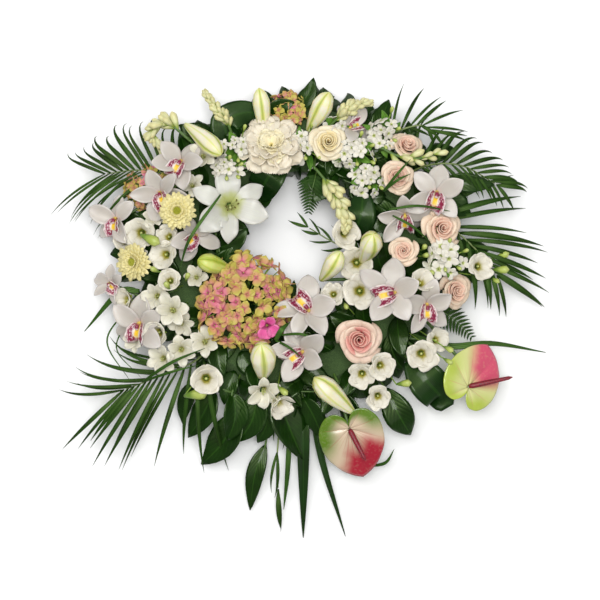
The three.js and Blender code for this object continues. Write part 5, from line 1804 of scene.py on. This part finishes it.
class WREATH_OT_stage(bpy.types.Operator):
    """A pale floor, soft lights from above, and the camera straight over the wreath"""

    bl_idname = "wreath.stage"
    bl_label = "Stage"

    def execute(self, context):
        scene = context.scene
        scene.view_settings.view_transform = "Standard"
        reach = 6.0  # half the floor's width in metres
        mesh = bpy.data.meshes.new("floor")
        corners = [(-reach, -reach, 0), (reach, -reach, 0), (reach, reach, 0), (-reach, reach, 0)]
        mesh.from_pydata(corners, [], [(0, 1, 2, 3)])
        floor = bpy.data.objects.new("floor", mesh)
        scene.collection.objects.link(floor)
        pale = bpy.data.materials.new("Pale floor")
        pale.use_nodes = True
        surface = pale.node_tree.nodes["Principled BSDF"].inputs
        surface["Base Color"].default_value = (0.93, 0.93, 0.93, 1)
        surface["Roughness"].default_value = 0.9
        mesh.materials.append(pale)
        world = bpy.data.worlds.new("Studio")
        world.use_nodes = True
        sky = world.node_tree.nodes["Background"].inputs
        sky["Color"].default_value = (1, 1, 1, 1)
        sky["Strength"].default_value = 0.33
        scene.world = world
        # The lamps: a place in metres from the ring's centre, a size in metres, a power in watts.
        for name, place, size, power in (
            ("top", (0.1, 0.1, 3.9), 1.2, 76),
            ("key", (-0.7, 0.9, 3.0), 1.6, 46),
            ("fill", (1.1, -0.7, 2.8), 2.4, 16),
        ):
            lamp = bpy.data.lights.new(name, "AREA")
            lamp.size = size
            lamp.energy = power
            light = bpy.data.objects.new(name, lamp)
            light.location = (RING_X + place[0], RING_Y + place[1], place[2])
            way = Vector((-place[0], -place[1], VIEW_Z - place[2]))
            light.rotation_euler = way.to_track_quat("-Z", "Y").to_euler()
            scene.collection.objects.link(light)
        camera = bpy.data.objects.new("camera", bpy.data.cameras.new("camera"))
        height = shape_settings().camera_height
        camera.location = (RING_X + VIEW_X, RING_Y + VIEW_Y, height)
        camera.data.sensor_width = SENSOR_WIDTH
        camera.data.lens = SENSOR_WIDTH * (height - VIEW_Z) / VIEW_WIDTH
        camera.data.clip_end = 50
        scene.collection.objects.link(camera)
        scene.camera = camera
        return {"FINISHED"}


OPERATORS = (
    WREATH_OT_stage, WREATH_OT_ring, WREATH_OT_roses, WREATH_OT_orchids, WREATH_OT_lilies,
    WREATH_OT_heads, WREATH_OT_hydrangeas, WREATH_OT_anthuriums, WREATH_OT_sprays,
    WREATH_OT_small_flowers, WREATH_OT_spikes, WREATH_OT_straps, WREATH_OT_leaves,
    WREATH_OT_carpet, WREATH_OT_ferns, WREATH_OT_fronds, WREATH_OT_grass,
)


class WREATH_PT_panel(bpy.types.Panel):
    """Lists the steps that dress the wreath, and its settings"""

    bl_idname = "WREATH_PT_panel"
    bl_label = "Funeral wreath"
    bl_space_type = "VIEW_3D"
    bl_region_type = "UI"
    bl_category = "Wreath"

    def draw(self, context):
        for settings in (context.scene.wreath_shape, context.scene.wreath_colours):
            for name in settings.__annotations__:
                self.layout.prop(settings, name)
        for step in OPERATORS:
            self.layout.operator(step.bl_idname)


CLASSES = (WreathColours, WreathShape, *OPERATORS, WREATH_PT_panel)


def register():
    for each in CLASSES:
        bpy.utils.register_class(each)
    bpy.types.Scene.wreath_colours = PointerProperty(type=WreathColours)
    bpy.types.Scene.wreath_shape = PointerProperty(type=WreathShape)


def unregister():
    del bpy.types.Scene.wreath_shape
    del bpy.types.Scene.wreath_colours
    for each in reversed(CLASSES):
        bpy.utils.unregister_class(each)


def main():
    register()
    for step in OPERATORS:
        family, name = step.bl_idname.split(".")
        getattr(getattr(bpy.ops, family), name)()


if __name__ == "__main__":
    main()
